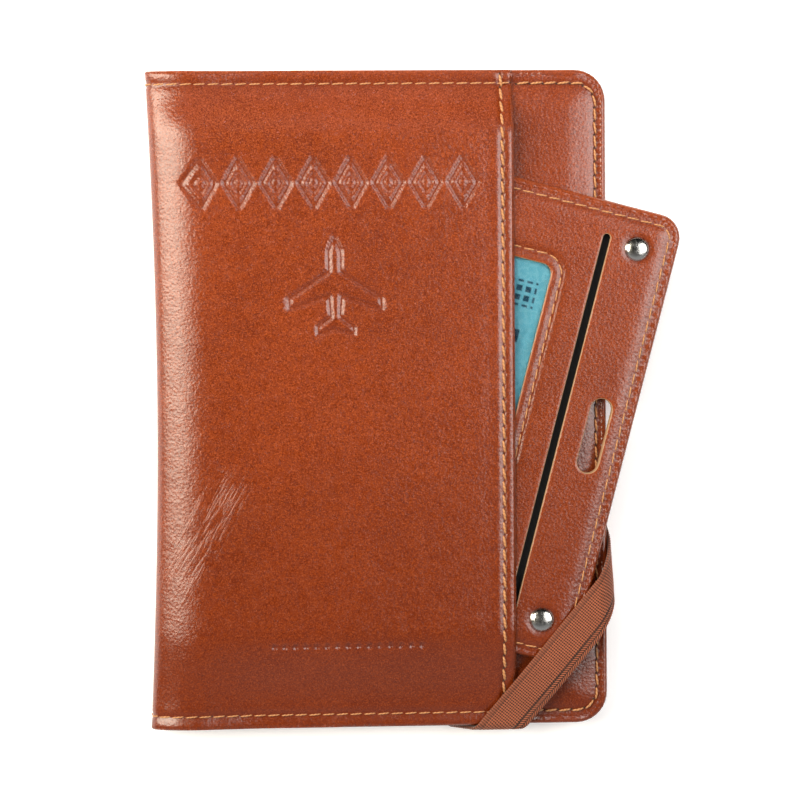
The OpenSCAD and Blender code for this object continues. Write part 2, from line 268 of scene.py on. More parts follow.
HOLE_STEP = 0.7            # mesh step round a hole
ROW_SHARE = 0.866          # rows of even triangles lie this much closer than their points


def triangulate(outer, holes, step, insets, extra):
    """Points and triangles that fill an outline with holes. Returns them and the boundary loops."""
    fine = min(step, HOLE_STEP)
    loops = [outer.loop(step)] + [h.loop(fine)[::-1] for h in holes]
    starts = [sum(len(loop) for loop in loops[:k]) for k in range(len(loops))]
    edges = [(start + k, start + (k + 1) % len(loop)) for start, loop in zip(starts, loops)
             for k in range(len(loop))]
    added = [outer.loop(step, i) for i in insets]
    added += [h.loop(fine, -i) for h in holes for i in insets]
    added = np.concatenate([np.asarray(a, float) for a in added + list(extra)])
    added = added[depth_in(outer, holes, added) > min(insets) * 0.8]
    points = np.concatenate([np.array([p for loop in loops for p in loop]), added])
    tree = kdtree.KDTree(len(points))
    for k, p in enumerate(points):
        tree.insert((p[0], p[1], 0), k)
    tree.balance()
    rows = np.arange(outer.y0 + step, outer.y1, step * ROW_SHARE)
    grid = np.array([(x + (step / 2 if k % 2 else 0), y) for k, y in enumerate(rows)
                     for x in np.arange(outer.x0 + step, outer.x1, step)])
    grid = grid[depth_in(outer, holes, grid) > step * 0.6]
    grid = np.array([g for g in grid if tree.find((g[0], g[1], 0))[2] > step * 0.62]).reshape(-1, 2)
    points = np.concatenate([points, grid])
    verts, _, tris, ids, _, _ = geometry.delaunay_2d_cdt(
        [Vector(p) for p in points], edges, [], 0, 1e-6, True)
    verts = np.array([tuple(v) for v in verts])
    tris = np.array([t for t in tris if len(t) == 3])
    inside = depth_in(outer, holes, verts[tris].mean(axis=1)) > 0
    where = {original: k for k, originals in enumerate(ids) for original in originals}
    ordered = [[where[start + k] for k in range(len(loop))] for start, loop in zip(starts, loops)]
    return verts, tris[inside], ordered


CUT_W = 0.17               # how much of a cut edge shows from above


def plate(name, outer, material, top, under, place, holes=(), step=1.2, insets=(0.15, 0.4, 0.8),
          extra=(), marks=None):
    """A closed sheet with rounded edges. top and under give a height at each point and depth,
    place turns a flat point and a height into the frame, and marks names point attributes. A
    second material is for the cut edges of its holes."""
    flat, tris, loops = triangulate(outer, holes, step, insets, extra)
    depth = np.maximum(depth_in(outer, holes, flat), 0)
    n = len(flat)
    points = np.concatenate([place(flat, top(flat, depth)), place(flat, under(flat, depth))])
    area = np.cross(flat[tris[:, 1]] - flat[tris[:, 0]], flat[tris[:, 2]] - flat[tris[:, 0]])
    tris[area < 0] = tris[area < 0][:, ::-1]
    faces = tris.tolist() + (tris[:, ::-1] + n).tolist()
    kind = [0] * len(faces)
    if holes:
        from_hole = np.min([-h.distance(flat) for h in holes], axis=0)
        kind[:len(tris)] = (from_hole[tris].max(axis=1) < CUT_W + 0.02).astype(int).tolist()
    for number, loop in enumerate(loops):
        walls = [(a, a + n, b + n, b) for a, b in zip(loop, loop[1:] + loop[:1]) if a != b]
        faces += walls
        kind += [min(number, 1)] * len(walls)
    extras = {"edge": np.tile(depth, 2)}
    for key, values in (marks or {}).items():
        extras[key] = np.tile(values(flat, depth), 2)
    return make_object(name, points, faces, material, extras, kind)


def leather_marks(seam=None, press=None):
    """A leather plate's point attributes: how near a seam each point is, and how far pressed in."""
    def nowhere(flat, depth):
        return np.zeros(len(flat))
    return {"seam": seam or nowhere, "press": press or nowhere}


def flat_place(flat, height):
    return np.column_stack([flat, height])


def holder_place(flat, height):
    return np.column_stack([*from_holder(flat[:, 0], flat[:, 1]), height])


def level(height):
    """A flat side at one height."""
    return lambda flat, depth: np.full(len(flat), height)


def ring_faces(start, rings, sides):
    """Faces of rings of points joined into one tube with closed ends."""
    faces = []
    for ring in range(start, start + (rings - 1) * sides, sides):
        for k in range(sides):
            a, b = ring + k, ring + (k + 1) % sides
            faces.append((a, b, b + sides, a + sides))
    last = start + (rings - 1) * sides
    faces.append([start + k for k in range(sides)][::-1])
    faces.append([last + k for k in range(sides)])
    return faces


def grid_faces(rows, columns):
    """Faces of two grids of points, the second one under the first, and the point pairs of their rim."""
    n = rows * columns
    grid = np.arange(n).reshape(rows, columns)
    quads = np.stack([grid[:-1, :-1], grid[1:, :-1], grid[1:, 1:], grid[:-1, 1:]], axis=-1).reshape(-1, 4)
    rim = np.concatenate([grid[0, :], grid[1:, -1], grid[-1, -2::-1], grid[-2:0:-1, 0]]).tolist()
    return quads.tolist() + (quads[:, ::-1] + n).tolist(), list(zip(rim, rim[1:] + rim[:1])), n


def lathe(name, profile, centres, material, sides=48):
    """Turned pieces: the same (radius, height) profile round an upright axis at each centre."""
    points, faces = [], []
    for cx, cy in centres:
        faces += ring_faces(len(points), len(profile), sides)
        points += [(cx + r * math.cos(a), cy + r * math.sin(a), z)
                   for r, z in profile for a in circle(sides)]
    return make_object(name, points, faces, material)


# ---------------------------------------------------------------- stitches

def frames_along(path, normals, at):
    """Position, direction, normal and side at distances along a path."""
    length = run_length(path)
    ends = np.minimum(at + 0.2, length[-1]), np.maximum(at - 0.2, 0)
    ahead = unit(pick(path, length, ends[0]) - pick(path, length, ends[1]))
    normal = unit(pick(normals, length, at))
    return pick(path, length, at), ahead, normal, np.cross(normal, ahead)


def path_length(path):
    return np.linalg.norm(np.diff(path, axis=0), axis=1).sum()


STITCH_SHARE = 0.97        # of the pitch, the rest being the needle hole
STITCH_SIDES = 8
STITCH_RINGS = 15
STITCH_BULGE = 0.27        # how far a stitch arches
STITCH_DIP = 0.13          # how far its ends dip in
THREAD_TWIST = 0.85        # length of one turn of the thread's two plies
HOLE_SIDES = 10
HOLE_SINK = 0.06
HOLE_LEVELS = ((1.0, -0.10), (0.8, 0.0), (0.4, 0.025))     # shares of its radius, and their heights
PITCH = 2.95
BOLD = {"r": 0.28, "slant": 0.44, "hole": (0.32, 0.23)}    # the pocket's mouth
PLAIN = {"r": 0.22, "slant": 0.34, "hole": (0.30, 0.20)}   # the covers' edges
SUNK = {"r": 0.16, "slant": 0.22, "hole": (0.24, 0.16)}    # the panel's ends and the card holder


def stitches(name, path, normals, style):
    """One line of separate slanted stitches, each arched and dipping in at both its ends."""
    count = max(1, round(path_length(path) / PITCH))
    pitch = path_length(path) / count
    tau = np.linspace(0, 1, STITCH_RINGS)
    at = ((np.arange(count) + 0.5)[:, None] + (tau - 0.5) * STITCH_SHARE) * pitch
    here, _, normal, side = frames_along(path, normals, at.ravel())
    jitter = np.array([noise.noise(Vector((k * 1.7, 0, 0.5))) for k in range(count)])
    slant = (style["slant"] * (1 + 0.5 * jitter))[:, None] * (tau - 0.5)
    rise = (STITCH_BULGE + 0.05 * jitter)[:, None] * np.sin(np.pi * tau) ** 0.7 - STITCH_DIP
    centre = here + side * slant.ravel()[:, None] + normal * rise.ravel()[:, None]
    radius = np.tile(style["r"] * np.clip(np.sin(np.pi * tau), 0.02, 1) ** 0.45, count)
    angles = circle(STITCH_SIDES)
    turn = np.tile(tau * pitch / THREAD_TWIST * 2 * np.pi, count)
    ply = np.cos(turn[:, None] + angles)
    ring = (side[:, None, :] * np.cos(angles)[None, :, None] * 1.1
            + normal[:, None, :] * np.sin(angles)[None, :, None] * 0.85)
    points = (centre[:, None, :] + ring * (radius[:, None] * (1 + 0.1 * ply))[:, :, None]).reshape(-1, 3)
    per_stitch = STITCH_RINGS * STITCH_SIDES
    faces = [face for k in range(count) for face in ring_faces(k * per_stitch, STITCH_RINGS, STITCH_SIDES)]
    along = np.repeat(np.tile(tau, count), STITCH_SIDES)
    return make_object(name, points, faces, thread, {"along": along, "ply": ply.ravel()})


def needle_holes(name, path, normals, style):
    """Small hollows between the stitches, as low caps set into the leather and coloured dark as painted shade."""
    long_r, wide_r = style["hole"]
    count = max(1, round(path_length(path) / PITCH))
    at = np.arange(count + 1) * path_length(path) / count
    points, faces = [], []
    for here, ahead, normal, side in zip(*frames_along(path, normals, at)):
        faces += ring_faces(len(points), len(HOLE_LEVELS), HOLE_SIDES)
        points += [here + ahead * long_r * share * math.cos(a)
                   + side * (wide_r * share * math.sin(a) + wide_r * 0.9) + normal * (height - HOLE_SINK)
                   for share, height in HOLE_LEVELS for a in circle(HOLE_SIDES)]
    return make_object(name, points, faces, needle_hole)


# ---------------------------------------------------------------- materials

class Shader:
    """A material's nodes, with short ways to add and join them."""

    def __init__(self, name):
        self.material = bpy.data.materials.new(name)
        self.material.use_nodes = True
        self.tree = self.material.node_tree
        self.tree.nodes.clear()
        self.output = self.tree.nodes.new("ShaderNodeOutputMaterial")
        self.surface = self.add("ShaderNodeBsdfPrincipled")
        self.tree.links.new(self.surface.outputs[0], self.output.inputs[0])

    def add(self, kind, inputs=None, **settings):
        made = self.tree.nodes.new(kind)
        for key, value in settings.items():
            setattr(made, key, value)
        for key, value in (inputs or {}).items():
            self.put(made.inputs[key], value)
        return made

    def put(self, socket, value):
        if isinstance(value, bpy.types.NodeSocket):
            self.tree.links.new(value, socket)
        else:
            socket.default_value = value

    def set(self, **values):
        names = {"color": "Base Color", "roughness": "Roughness", "metallic": "Metallic", "normal": "Normal",
                 "coat": "Coat Weight", "coat_roughness": "Coat Roughness", "sheen": "Sheen Weight",
                 "sheen_roughness": "Sheen Roughness", "specular": "Specular IOR Level", "ior": "IOR",
                 "transmission": "Transmission Weight", "glow": "Emission Strength",
                 "glow_color": "Emission Color"}
        for key, value in values.items():
            self.put(self.surface.inputs[names[key]], value)
        return self.material

    def place(self):
        """The point's own place in the frame, in millimetres, which stays with it as it moves."""
        return self.add("ShaderNodeAttribute", attribute_name="rest").outputs["Vector"]

    def value(self, name):
        return self.add("ShaderNodeAttribute", attribute_name=name).outputs["Fac"]

    def object_place(self):
        at = self.add("ShaderNodeTexCoord").outputs["Object"]
        return self.scaled(at, (1000, 1000, 1000))

    def scaled(self, vector, scale):
        return self.add("ShaderNodeVectorMath", {0: vector, 1: scale}, operation="MULTIPLY").outputs[0]

    def split(self, vector):
        return self.add("ShaderNodeSeparateXYZ", {0: vector}).outputs

    def noise(self, vector, scale, detail=3.0, roughness=0.55, distortion=0.0):
        inputs = {"Vector": vector, "Scale": scale, "Detail": detail, "Roughness": roughness,
                  "Distortion": distortion}
        return self.add("ShaderNodeTexNoise", inputs).outputs["Fac"]

    def cells(self, vector, scale, feature="F1"):
        return self.add("ShaderNodeTexVoronoi", {"Vector": vector, "Scale": scale},
                        feature=feature).outputs["Distance"]

    def stripes(self, vector, scale, direction, **inputs):
        inputs = {"Vector": vector, "Scale": scale, **inputs}
        return self.add("ShaderNodeTexWave", inputs, bands_direction=direction).outputs["Fac"]

    def ramp(self, value, low, high, low_out=0.0, high_out=1.0):
        """A value eased from one range into another, low and high being swapped to turn it over."""
        inputs = {"Value": value, "From Min": low, "From Max": high, "To Min": low_out, "To Max": high_out}
        return self.add("ShaderNodeMapRange", inputs, interpolation_type="SMOOTHSTEP").outputs[0]

    def math(self, operation, a, b=0.0):
        return self.add("ShaderNodeMath", {0: a, 1: b}, operation=operation).outputs[0]

    def times(self, a, b):
        return self.math("MULTIPLY", a, b)

    def from_middle(self, value, middle):
        return self.math("ABSOLUTE", self.math("SUBTRACT", value, middle))

    def mix(self, share, a, b):
        made = self.add("ShaderNodeMix", data_type="RGBA")
        for index, value in ((0, share), (6, a), (7, b)):
            self.put(made.inputs[index], value)
        return made.outputs[2]

    def bump(self, height, strength, distance, normal=None):
        inputs = {"Height": height, "Strength": strength, "Distance": distance}
        if normal is not None:
            inputs["Normal"] = normal
        return self.add("ShaderNodeBump", inputs).outputs[0]


def tone(r, g, b):
    return (r, g, b, 1.0)


CREASE_TURN = math.radians(60.0)    # the way the slanting creases run, from the X axis
CREASE_AT = (-43.8, 18.9)           # the middle of their patch, along and across them


def leather(name, light, base, dark, gloss=0.235, grain=1.0):
    """Smooth pull-up leather: cloudy colour, fine speckle and pores, faint creases, painted highlights on its
    edges and creases, and painted shade in its seams, its pressed ornament and towards the foot.
    """
    s = Shader(name)
    at = s.place()
    cloud = s.ramp(s.noise(at, 0.05, 3.0, 0.55, 0.5), 0.35, 0.7)
    patchy = s.ramp(s.noise(at, 0.19, 4.0, 0.6, 0.4), 0.3, 0.75)
    speck = s.noise(at, 2.5, 3.0, 0.75)
    fleck = s.noise(at, 3.5, 2.0, 0.6)
    color = s.mix(s.times(cloud, 0.45), base, dark)
    color = s.mix(s.times(patchy, 0.22), color, light)
    color = s.mix(s.ramp(speck, 0.54, 0.38, 0.0, 0.9), color, dark)
    color = s.mix(s.ramp(fleck, 0.5, 0.64, 0.0, 0.8), color, light)
    # painted highlight: the leather is lightened along its edges, mottled by noise
    painted_edge_highlight = s.ramp(s.noise(at, 0.6, 4.0), 0.3, 0.7, 0.1, 0.5)
    color = s.mix(s.times(s.ramp(s.value("edge"), 0.9, 0.1), painted_edge_highlight), color, light)
    x, y, _ = s.split(at)
    # painted shade: the leather is darkened towards the foot, where less light falls
    painted_foot_shade = s.ramp(y, 10.0, FOOT, 0.0, 0.4)
    color = s.mix(painted_foot_shade, color, dark)
    # painted shade: darker in the seams' grooves, in the crevice round the rivets and in the pressed ornament
    color = s.mix(s.times(s.value("seam"), 0.4), color, dark)
    color = s.mix(s.times(s.value("press"), 0.35), color, dark)
    pebble = s.ramp(s.cells(at, 1.5), 0.0, 0.9)
    swirl = s.add("ShaderNodeTexNoise", {"Vector": at, "Scale": 0.25, "Detail": 3.0}).outputs["Color"]
    swirl = s.scaled(swirl, (6.0, 6.0, 6.0))
    warp = s.add("ShaderNodeVectorMath", {0: at, 1: swirl}, operation="ADD").outputs[0]
    vein = s.ramp(s.cells(s.scaled(warp, (0.16, 0.1, 0.16)), 1.0, "DISTANCE_TO_EDGE"), 0.0, 0.05)
    crease = s.mix(s.ramp(s.noise(at, 0.06, 2.0), 0.48, 0.62), tone(1, 1, 1), vein)
    folded = s.times(s.ramp(x, LEFT + 20, LEFT + 9), s.ramp(x, LEFT + 2, LEFT + 8, 0.2, 1.0))
    crackle = s.noise(s.scaled(warp, (0.9, 0.4, 0.9)), 1.3, 4.0, 0.6)
    # a patch of creases that run aslant near the spine, where the cover is held while it is opened
    turned = s.add("ShaderNodeVectorRotate", {0: at, "Angle": -CREASE_TURN}).outputs[0]
    along, across, _ = s.split(turned)
    near = s.ramp(s.from_middle(along, CREASE_AT[0]), 19.0, 8.0)
    beside = s.ramp(s.from_middle(across, CREASE_AT[1]), 6.5, 2.0)
    streak = s.ramp(s.noise(s.scaled(turned, (0.15, 1.2, 0.3)), 1.0, 4.0, 0.6), 0.46, 0.64)
    slanting = s.times(streak, s.times(near, beside))
    # painted glint: the slanting creases are lightened where their ridges catch the light
    color = s.mix(s.times(slanting, 0.22), color, light)
    normal = s.bump(pebble, 0.2 * grain, 0.00012)
    normal = s.bump(slanting, 0.3, 0.00022, normal)
    normal = s.bump(s.noise(at, 3.2, 4.0, 0.7), 0.24 * grain, 0.00012, normal)
    normal = s.bump(crease, 0.1, 0.00012, normal)
    normal = s.bump(s.times(crackle, folded), 0.15, 0.0005, normal)
    normal = s.bump(s.noise(at, 0.3, 3.0), 0.08, 0.0008, normal)
    rough = s.ramp(s.noise(at, 0.5, 5.0, 0.65), 0.25, 0.75, gloss - 0.03, gloss + 0.05)
    return s.set(color=color, roughness=rough, normal=normal, specular=0.75, coat=0.05, coat_roughness=0.3)


def thread_material():
    s = Shader("thread")
    at = s.place()
    ply = s.ramp(s.value("ply"), 0.1, -0.9)
    fuzz = s.noise(at, 3.0, 3.0)
    ends = s.ramp(s.from_middle(s.value("along"), 0.5), 0.36, 0.5)
    color = s.mix(fuzz, tone(0.38, 0.145, 0.045), tone(0.64, 0.31, 0.115))
    # painted shade in the grooves between the thread's two plies
    color = s.mix(s.times(ply, 0.75), color, tone(0.26, 0.075, 0.02))
    # painted shade at each stitch's ends, where it dips into the leather
    color = s.mix(ends, color, tone(0.15, 0.045, 0.014))
    return s.set(color=color, roughness=0.55, normal=s.bump(fuzz, 0.4, 0.00008), sheen=0.2)


def hole_material():
    s = Shader("needle_hole")
    at = s.place()
    # painted shade: the caps' dark colour stands in for the depth of the holes
    color = s.mix(s.noise(at, 1.2), tone(0.02, 0.008, 0.004), tone(0.06, 0.022, 0.01))
    return s.set(color=color, roughness=0.85)


def raw_edge_material():
    """The pale cut edge of leather, fibrous and uneven."""
    s = Shader("cut_edge")
    at = s.place()
    fibre = s.noise(s.scaled(at, (1.0, 1.0, 4.0)), 1.6, 5.0, 0.7)
    color = s.mix(fibre, tone(0.25, 0.11, 0.05), tone(0.50, 0.32, 0.18))
    return s.set(color=color, roughness=0.9, normal=s.bump(fibre, 0.6, 0.0002))


def elastic_material():
    s = Shader("elastic")
    at = s.place()
    fuzz = s.noise(at, 3.0, 4.0, 0.7)
    # painted shade: near black in the low gaps between the ribs and in the groove by the cord, lighter on the
    # raised weave
    color = s.mix(s.ramp(s.value("rib"), 0.3, 1.0), tone(0.018, 0.004, 0.001), tone(0.38, 0.100, 0.040))
    color = s.mix(s.ramp(fuzz, 0.45, 0.8, 0.0, 0.2), color, tone(0.44, 0.13, 0.055))
    color = s.mix(s.ramp(s.noise(at, 0.25, 2.0), 0.35, 0.75, 0.0, 0.25), color, tone(0.13, 0.033, 0.014))
    return s.set(color=color, roughness=0.72, normal=s.bump(fuzz, 0.4, 0.0001), sheen=0.25,
                 sheen_roughness=0.4)


def cloth_material(name, warp, weft):
    """Plain woven cloth."""
    s = Shader(name)
    at = s.place()
    weave = s.times(s.stripes(at, 1.3, "X"), s.stripes(at, 1.3, "Y"))
    color = s.mix(weave, warp, weft)
    color = s.mix(s.ramp(s.noise(at, 0.3, 4.0), 0.3, 0.7, 0.0, 0.3), color, warp)
    return s.set(color=color, roughness=0.85, normal=s.bump(weave, 0.6, 0.00015), sheen=0.15)


def board_material():
    s = Shader("greyboard")
    fibre = s.noise(s.object_place(), 0.9, 6.0, 0.7)
    color = s.mix(fibre, tone(0.20, 0.15, 0.10), tone(0.42, 0.34, 0.25))
    return s.set(color=color, roughness=0.95, normal=s.bump(fibre, 0.5, 0.0002))


def nickel_material():
    s = Shader("polished_nickel")
    at = s.place()
    rough = s.ramp(s.noise(at, 1.5, 3.0), 0.3, 0.7, 0.17, 0.27)
    color = s.mix(s.noise(at, 0.7, 2.0), tone(0.58, 0.57, 0.55), tone(0.70, 0.69, 0.66))
    return s.set(color=color, metallic=1.0, roughness=rough,
                 normal=s.bump(s.noise(at, 0.9, 2.0), 0.12, 0.0002))


def steel_material():
    s = Shader("plain_steel")
    at = s.place()
    turned = s.noise(s.scaled(at, (1.0, 1.0, 0.2)), 2.5, 4.0)
    color = s.mix(turned, tone(0.30, 0.29, 0.28), tone(0.48, 0.47, 0.45))
    return s.set(color=color, metallic=1.0, roughness=s.ramp(turned, 0.3, 0.7, 0.3, 0.45))


def film_material():
    s = Shader("clear_film")
    at = s.place()
    ripple = s.noise(at, 0.09, 2.0)
    return s.set(color=tone(0.95, 0.98, 0.98), roughness=0.07, transmission=1.0, ior=1.2,
                 normal=s.bump(ripple, 0.25, 0.0006), specular=0.6)


def card_material():
    """A plain teal card with a pale band and fine wavy lines."""
    s = Shader("teal_card")
    at = s.place()
    spread = s.noise(at, 0.03, 2.0)
    color = s.mix(spread, tone(0.075, 0.29, 0.39), tone(0.13, 0.39, 0.50))
    lines = s.stripes(at, 0.16, "X", **{"Distortion": 5.0, "Detail": 1.0, "Detail Scale": 0.4})
    color = s.mix(s.ramp(lines, 0.46, 0.5, 0.0, 0.10), color, tone(0.25, 0.5, 0.56))
    color = s.mix(s.value("print"), color, tone(0.012, 0.05, 0.09))
    rough = s.ramp(s.noise(at, 0.8), 0.2, 0.8, 0.22, 0.32)
    return s.set(color=color, roughness=rough, coat=0.4, coat_roughness=0.12)


FLOOR_GLOW = 0.35


def floor_material():
    """A pale table lit softly from below, so that its shadows stay faint."""
    s = Shader("floor")
    color = s.mix(s.noise(s.object_place(), 0.02, 2.0), tone(0.90, 0.90, 0.90), tone(0.93, 0.93, 0.93))
    return s.set(color=color, roughness=0.8, glow=FLOOR_GLOW, glow_color=tone(1.0, 1.0, 1.0))


TAN_DARK = tone(0.10, 0.0115, 0.001)
outer_leather = leather("outer_leather", tone(0.33, 0.061, 0.011), tone(0.188, 0.0255, 0.0025), TAN_DARK)
holder_leather = leather("holder_leather", tone(0.33, 0.064, 0.013), tone(0.193, 0.0275, 0.0035), TAN_DARK,
                         grain=1.1)
inner_leather = leather("inner_leather", tone(0.26, 0.050, 0.014), tone(0.16, 0.025, 0.006),
                        tone(0.10, 0.013, 0.004), gloss=0.45)
thread = thread_material()
needle_hole = hole_material()
cut_edge = raw_edge_material()
elastic = elastic_material()
lining = cloth_material("lining", tone(0.06, 0.025, 0.012), tone(0.16, 0.07, 0.035))
liner = cloth_material("black_liner", tone(0.004, 0.004, 0.004), tone(0.012, 0.012, 0.012))
greyboard = board_material()
nickel = nickel_material()
steel = steel_material()
film = film_material()
teal = card_material()


# ---------------------------------------------------------------- the outer skin

FLANGE_TOP = BASE_TOP + PANEL_T
SPINE_RX, SPINE_RZ = 11.0, 5.0          # the rounding of the front fold
HEEL_RX, HEEL_RZ = 3.6, 3.0            # the rounding of the back fold
WALL = 2.0                             # flat stretch of the spine above and below its middle
SPINE_BOW = 2.0                        # how far the spine bows in between head and foot
SPINE_STAYS_UP = 0.45                  # how much less its ends sink than the panel's do
FAR = 1000.0                           # well past the spine


def skin_top(y, u=FAR):
    """Height of the front panel over its width: low at both seams, high over the pocket, and not so
    low at the spine, u being the way along the skin from the spine's middle."""
    head = (HEAD - y - 3.4) / 10.2
    foot = (y - FOOT - 3.4) / 18.0
    share = np.clip(np.minimum(head, foot), 0, 1)
    share = 0.3 * share + 0.7 * smooth(share)
    share = share + (1 - share) * SPINE_STAYS_UP * (1 - smooth((u - 8.0) / 22.0))
    return FLANGE_TOP + (PANEL_TOP - FLANGE_TOP) * share


def spine_left(y):
    return LEFT + SPINE_BOW * np.sin(np.pi * np.clip((HEAD - y) / (HEAD - FOOT), 0, 1)) ** 0.9


def quarter_length(rx, rz):
    t = np.linspace(0, QUARTER, 60)
    return float(np.hypot(np.diff(rx * (1 - np.cos(t))), np.diff(rz * np.sin(t))).sum())


FRONT_BEND = quarter_length(SPINE_RX, SPINE_RZ)
BACK_BEND = quarter_length(HEEL_RX, HEEL_RZ)


def front_path(u, y):
    """A point of the front skin: u runs from the spine's middle up, round the fold and to the mouth."""
    top = skin_top(y, u)
    middle = skin_top(y, 0.0) / 2
    rz = np.minimum(SPINE_RZ, top * 0.42)
    t = np.clip((u - WALL) / FRONT_BEND, 0, 1) * QUARTER
    left = spine_left(y)
    flat = np.maximum(u - WALL - FRONT_BEND, 0)
    stretch = (MOUTH - left - SPINE_RX) / (MOUTH - LEFT - SPINE_RX)
    x = left + SPINE_RX * (1 - np.cos(t)) + flat * stretch
    z = top - rz * (1 - np.sin(t)) - (top - rz - middle) * np.clip(1 - u / WALL, 0, 1)
    return np.column_stack([x, y, z])


def back_path(u, y):
    """A point of the back skin: u runs from the spine's middle down, round the fold, to the fore-edge."""
    middle = skin_top(y, 0.0) / 2
    t = np.clip((u - WALL) / BACK_BEND, 0, 1) * QUARTER
    left = spine_left(y)
    flat = np.maximum(u - WALL - BACK_BEND, 0)
    stretch = (RIGHT - left - HEEL_RX) / (RIGHT - LEFT - HEEL_RX)
    x = left + HEEL_RX * (1 - np.cos(t)) + flat * stretch
    z = HEEL_RZ * (1 - np.sin(t)) + (middle - HEEL_RZ) * np.clip(1 - u / WALL, 0, 1)
    return np.column_stack([x, y, z])


def path_normals(path, u, y, outward):
    step = 0.05
    du = path(u + step, y) - path(u - step, y)
    dy = path(u, y + step) - path(u, y - step)
    return unit(np.cross(du, dy) * outward)


def skin_place(path, outward):
    def place(flat, height):
        u, y = flat[:, 0], flat[:, 1]
        return path(u, y) + path_normals(path, u, y, outward) * height[:, None]
    return place


FRONT_U = WALL + FRONT_BEND + MOUTH - LEFT - SPINE_RX
BACK_U = WALL + BACK_BEND + RIGHT - LEFT - HEEL_RX
PANEL_U = WALL + FRONT_BEND - LEFT - SPINE_RX       # where the front skin passes X = 0
front_place = skin_place(front_path, 1.0)
back_place = skin_place(back_path, -1.0)


# Plain pressed ornament: a row of tooled lozenges, a simple aircraft sign and a row of beads.

def line_distance(p, a, b):
    a, b = np.asarray(a, float), np.asarray(b, float)
    t = np.clip(((p - a) @ (b - a)) / ((b - a) @ (b - a)), 0, 1)
    return np.linalg.norm(p - a - t[:, None] * (b - a), axis=1)


def outline_distance(p, corners):
    pairs = zip(corners, corners[1:] + corners[:1])
    return np.min([line_distance(p, a, b) for a, b in pairs], axis=0)


LOZENGES = {"count": 8, "x0": -43.4, "x1": 22.4, "y": 47.2, "half_h": 5.2, "half_w": 3.1}
PLANE = {"x0": -20.4, "x1": -0.4, "y": 25.0, "size": 10.4}
BEADS = {"count": 15, "x0": -23.8, "x1": 8.8, "y": -53.4, "r": 0.55}


def lozenge_press(p):
    row = LOZENGES
    depth = np.zeros(len(p))
    for k in range(row["count"]):
        x, y = row["x0"] + (row["x1"] - row["x0"]) * (k + 0.5) / row["count"], row["y"]
        w, h = row["half_w"], row["half_h"]
        corners = [(x - w, y), (x, y - h), (x + w, y), (x, y + h)]
        ring = outline_distance(p, corners)
        inner = [((a - x) * 0.42 + x, (b - y) * 0.42 + y) for a, b in corners]
        depth = np.maximum(depth, 1 - smooth((ring - 0.34) / 0.42))
        depth = np.maximum(depth, 0.8 * (1 - smooth((outline_distance(p, inner) - 0.16) / 0.4)))
    return depth


def plane_press(p):
    """An aircraft seen from above, nose up, drawn as one closed outline of straight lines."""
    half = [(0.0, 1.0), (0.13, 0.72), (0.13, 0.30), (0.98, -0.26), (0.98, -0.48), (0.13, -0.20),
            (0.10, -0.64), (0.38, -0.86), (0.38, -1.0), (0.0, -0.90)]
    shape = half + [(-x, y) for x, y in half[-2:0:-1]]
    middle, size = (PLANE["x0"] + PLANE["x1"]) / 2, PLANE["size"]
    shape = [(middle + x * size, PLANE["y"] + y * size) for x, y in shape]
    ring = outline_distance(p, shape)
    return 1 - smooth((ring - 0.28) / 0.42)


def bead_press(p):
    row = BEADS
    centres = np.linspace(row["x0"], row["x1"], row["count"])
    near = np.min([np.hypot(p[:, 0] - x, p[:, 1] - row["y"]) for x in centres], axis=0)
    return 1.1 * (1 - smooth((near - row["r"] * 0.5) / 0.45))


def ornament(p):
    """Depth of the pressed ornament, 0 to 1, over points on the flat of the front panel."""
    return np.max([lozenge_press(p), plane_press(p), bead_press(p)], axis=0)


ORNAMENT_DEPTH = 0.26
FINE = 0.36                # mesh step under the ornament
MOUTH_SEAM = (-SEAM_Y + 1.0, HEAD - 0.9)      # from and to, along Y
MOUTH_STITCHES = round((MOUTH_SEAM[1] - MOUTH_SEAM[0]) / PITCH)
MOUTH_PITCH = (MOUTH_SEAM[1] - MOUTH_SEAM[0]) / MOUTH_STITCHES


def on_panel(flat):
    """The front skin's flat points as X and Y of the cover."""
    return flat - np.array([PANEL_U, 0])


def edge_seam_distance(flat):
    """How far points are from the straight seams along the head and the foot."""
    return np.minimum(np.abs(flat[:, 1] - SEAM_Y), np.abs(flat[:, 1] + SEAM_Y))


def mouth_seam_distance(flat):
    return np.abs(flat[:, 0] - (FRONT_U - MOUTH_SEAM_INSET))


def spine_crinkles(flat):
    """Shallow wrinkles that run across the fold, fading out over the panel."""
    u, y = flat[:, 0], flat[:, 1]
    long_way = waves(np.column_stack([u / 2.6, y]), 2.3, 4.2)
    slanted = waves(np.column_stack([u + y * 0.8, (y - u) / 3]), 3.4, 9.1)
    return np.exp(-((u - 15) / 6) ** 2) * (0.05 * long_way + 0.04 * slanted)


def front_top(flat, depth):
    u, y = flat[:, 0], flat[:, 1]
    mouth_row = mouth_seam_distance(flat)
    height = -rounded(depth, 0.5) - rounded(FRONT_U - u, 1.0)
    height -= 0.28 * bump_at(edge_seam_distance(flat), 0.75) + 0.28 * bump_at(mouth_row, 0.7)
    height -= 0.06 * bump_at(mouth_row, 0.6) * np.cos(2 * np.pi * (y - MOUTH_SEAM[0]) / MOUTH_PITCH)
    height -= 0.05 * bump_at(u - FRONT_U + 5.6, 1.6) + 0.2 * bump_at(u - FRONT_U + 1.3, 0.3)
    height += smooth((u - 6) / 14) * (0.08 * waves(flat, 17.0, 1.3) + 0.03 * waves(flat, 6.0, 7.7))
    height += spine_crinkles(flat)
    height -= ORNAMENT_DEPTH * ornament(on_panel(flat))
    pulled = np.exp(-(((u - 16) / 9) ** 2 + ((y + 66) / 5) ** 2))
    height -= 0.14 * pulled * (0.6 + 0.4 * np.sin(u * 1.1))
    return np.minimum(height, 0.02)


def front_under(flat, depth):
    hem = smooth((flat[:, 0] - (FRONT_U - 9)) / 0.8)
    return -(PANEL_T + 0.35 * hem) + rounded(depth, 0.3)


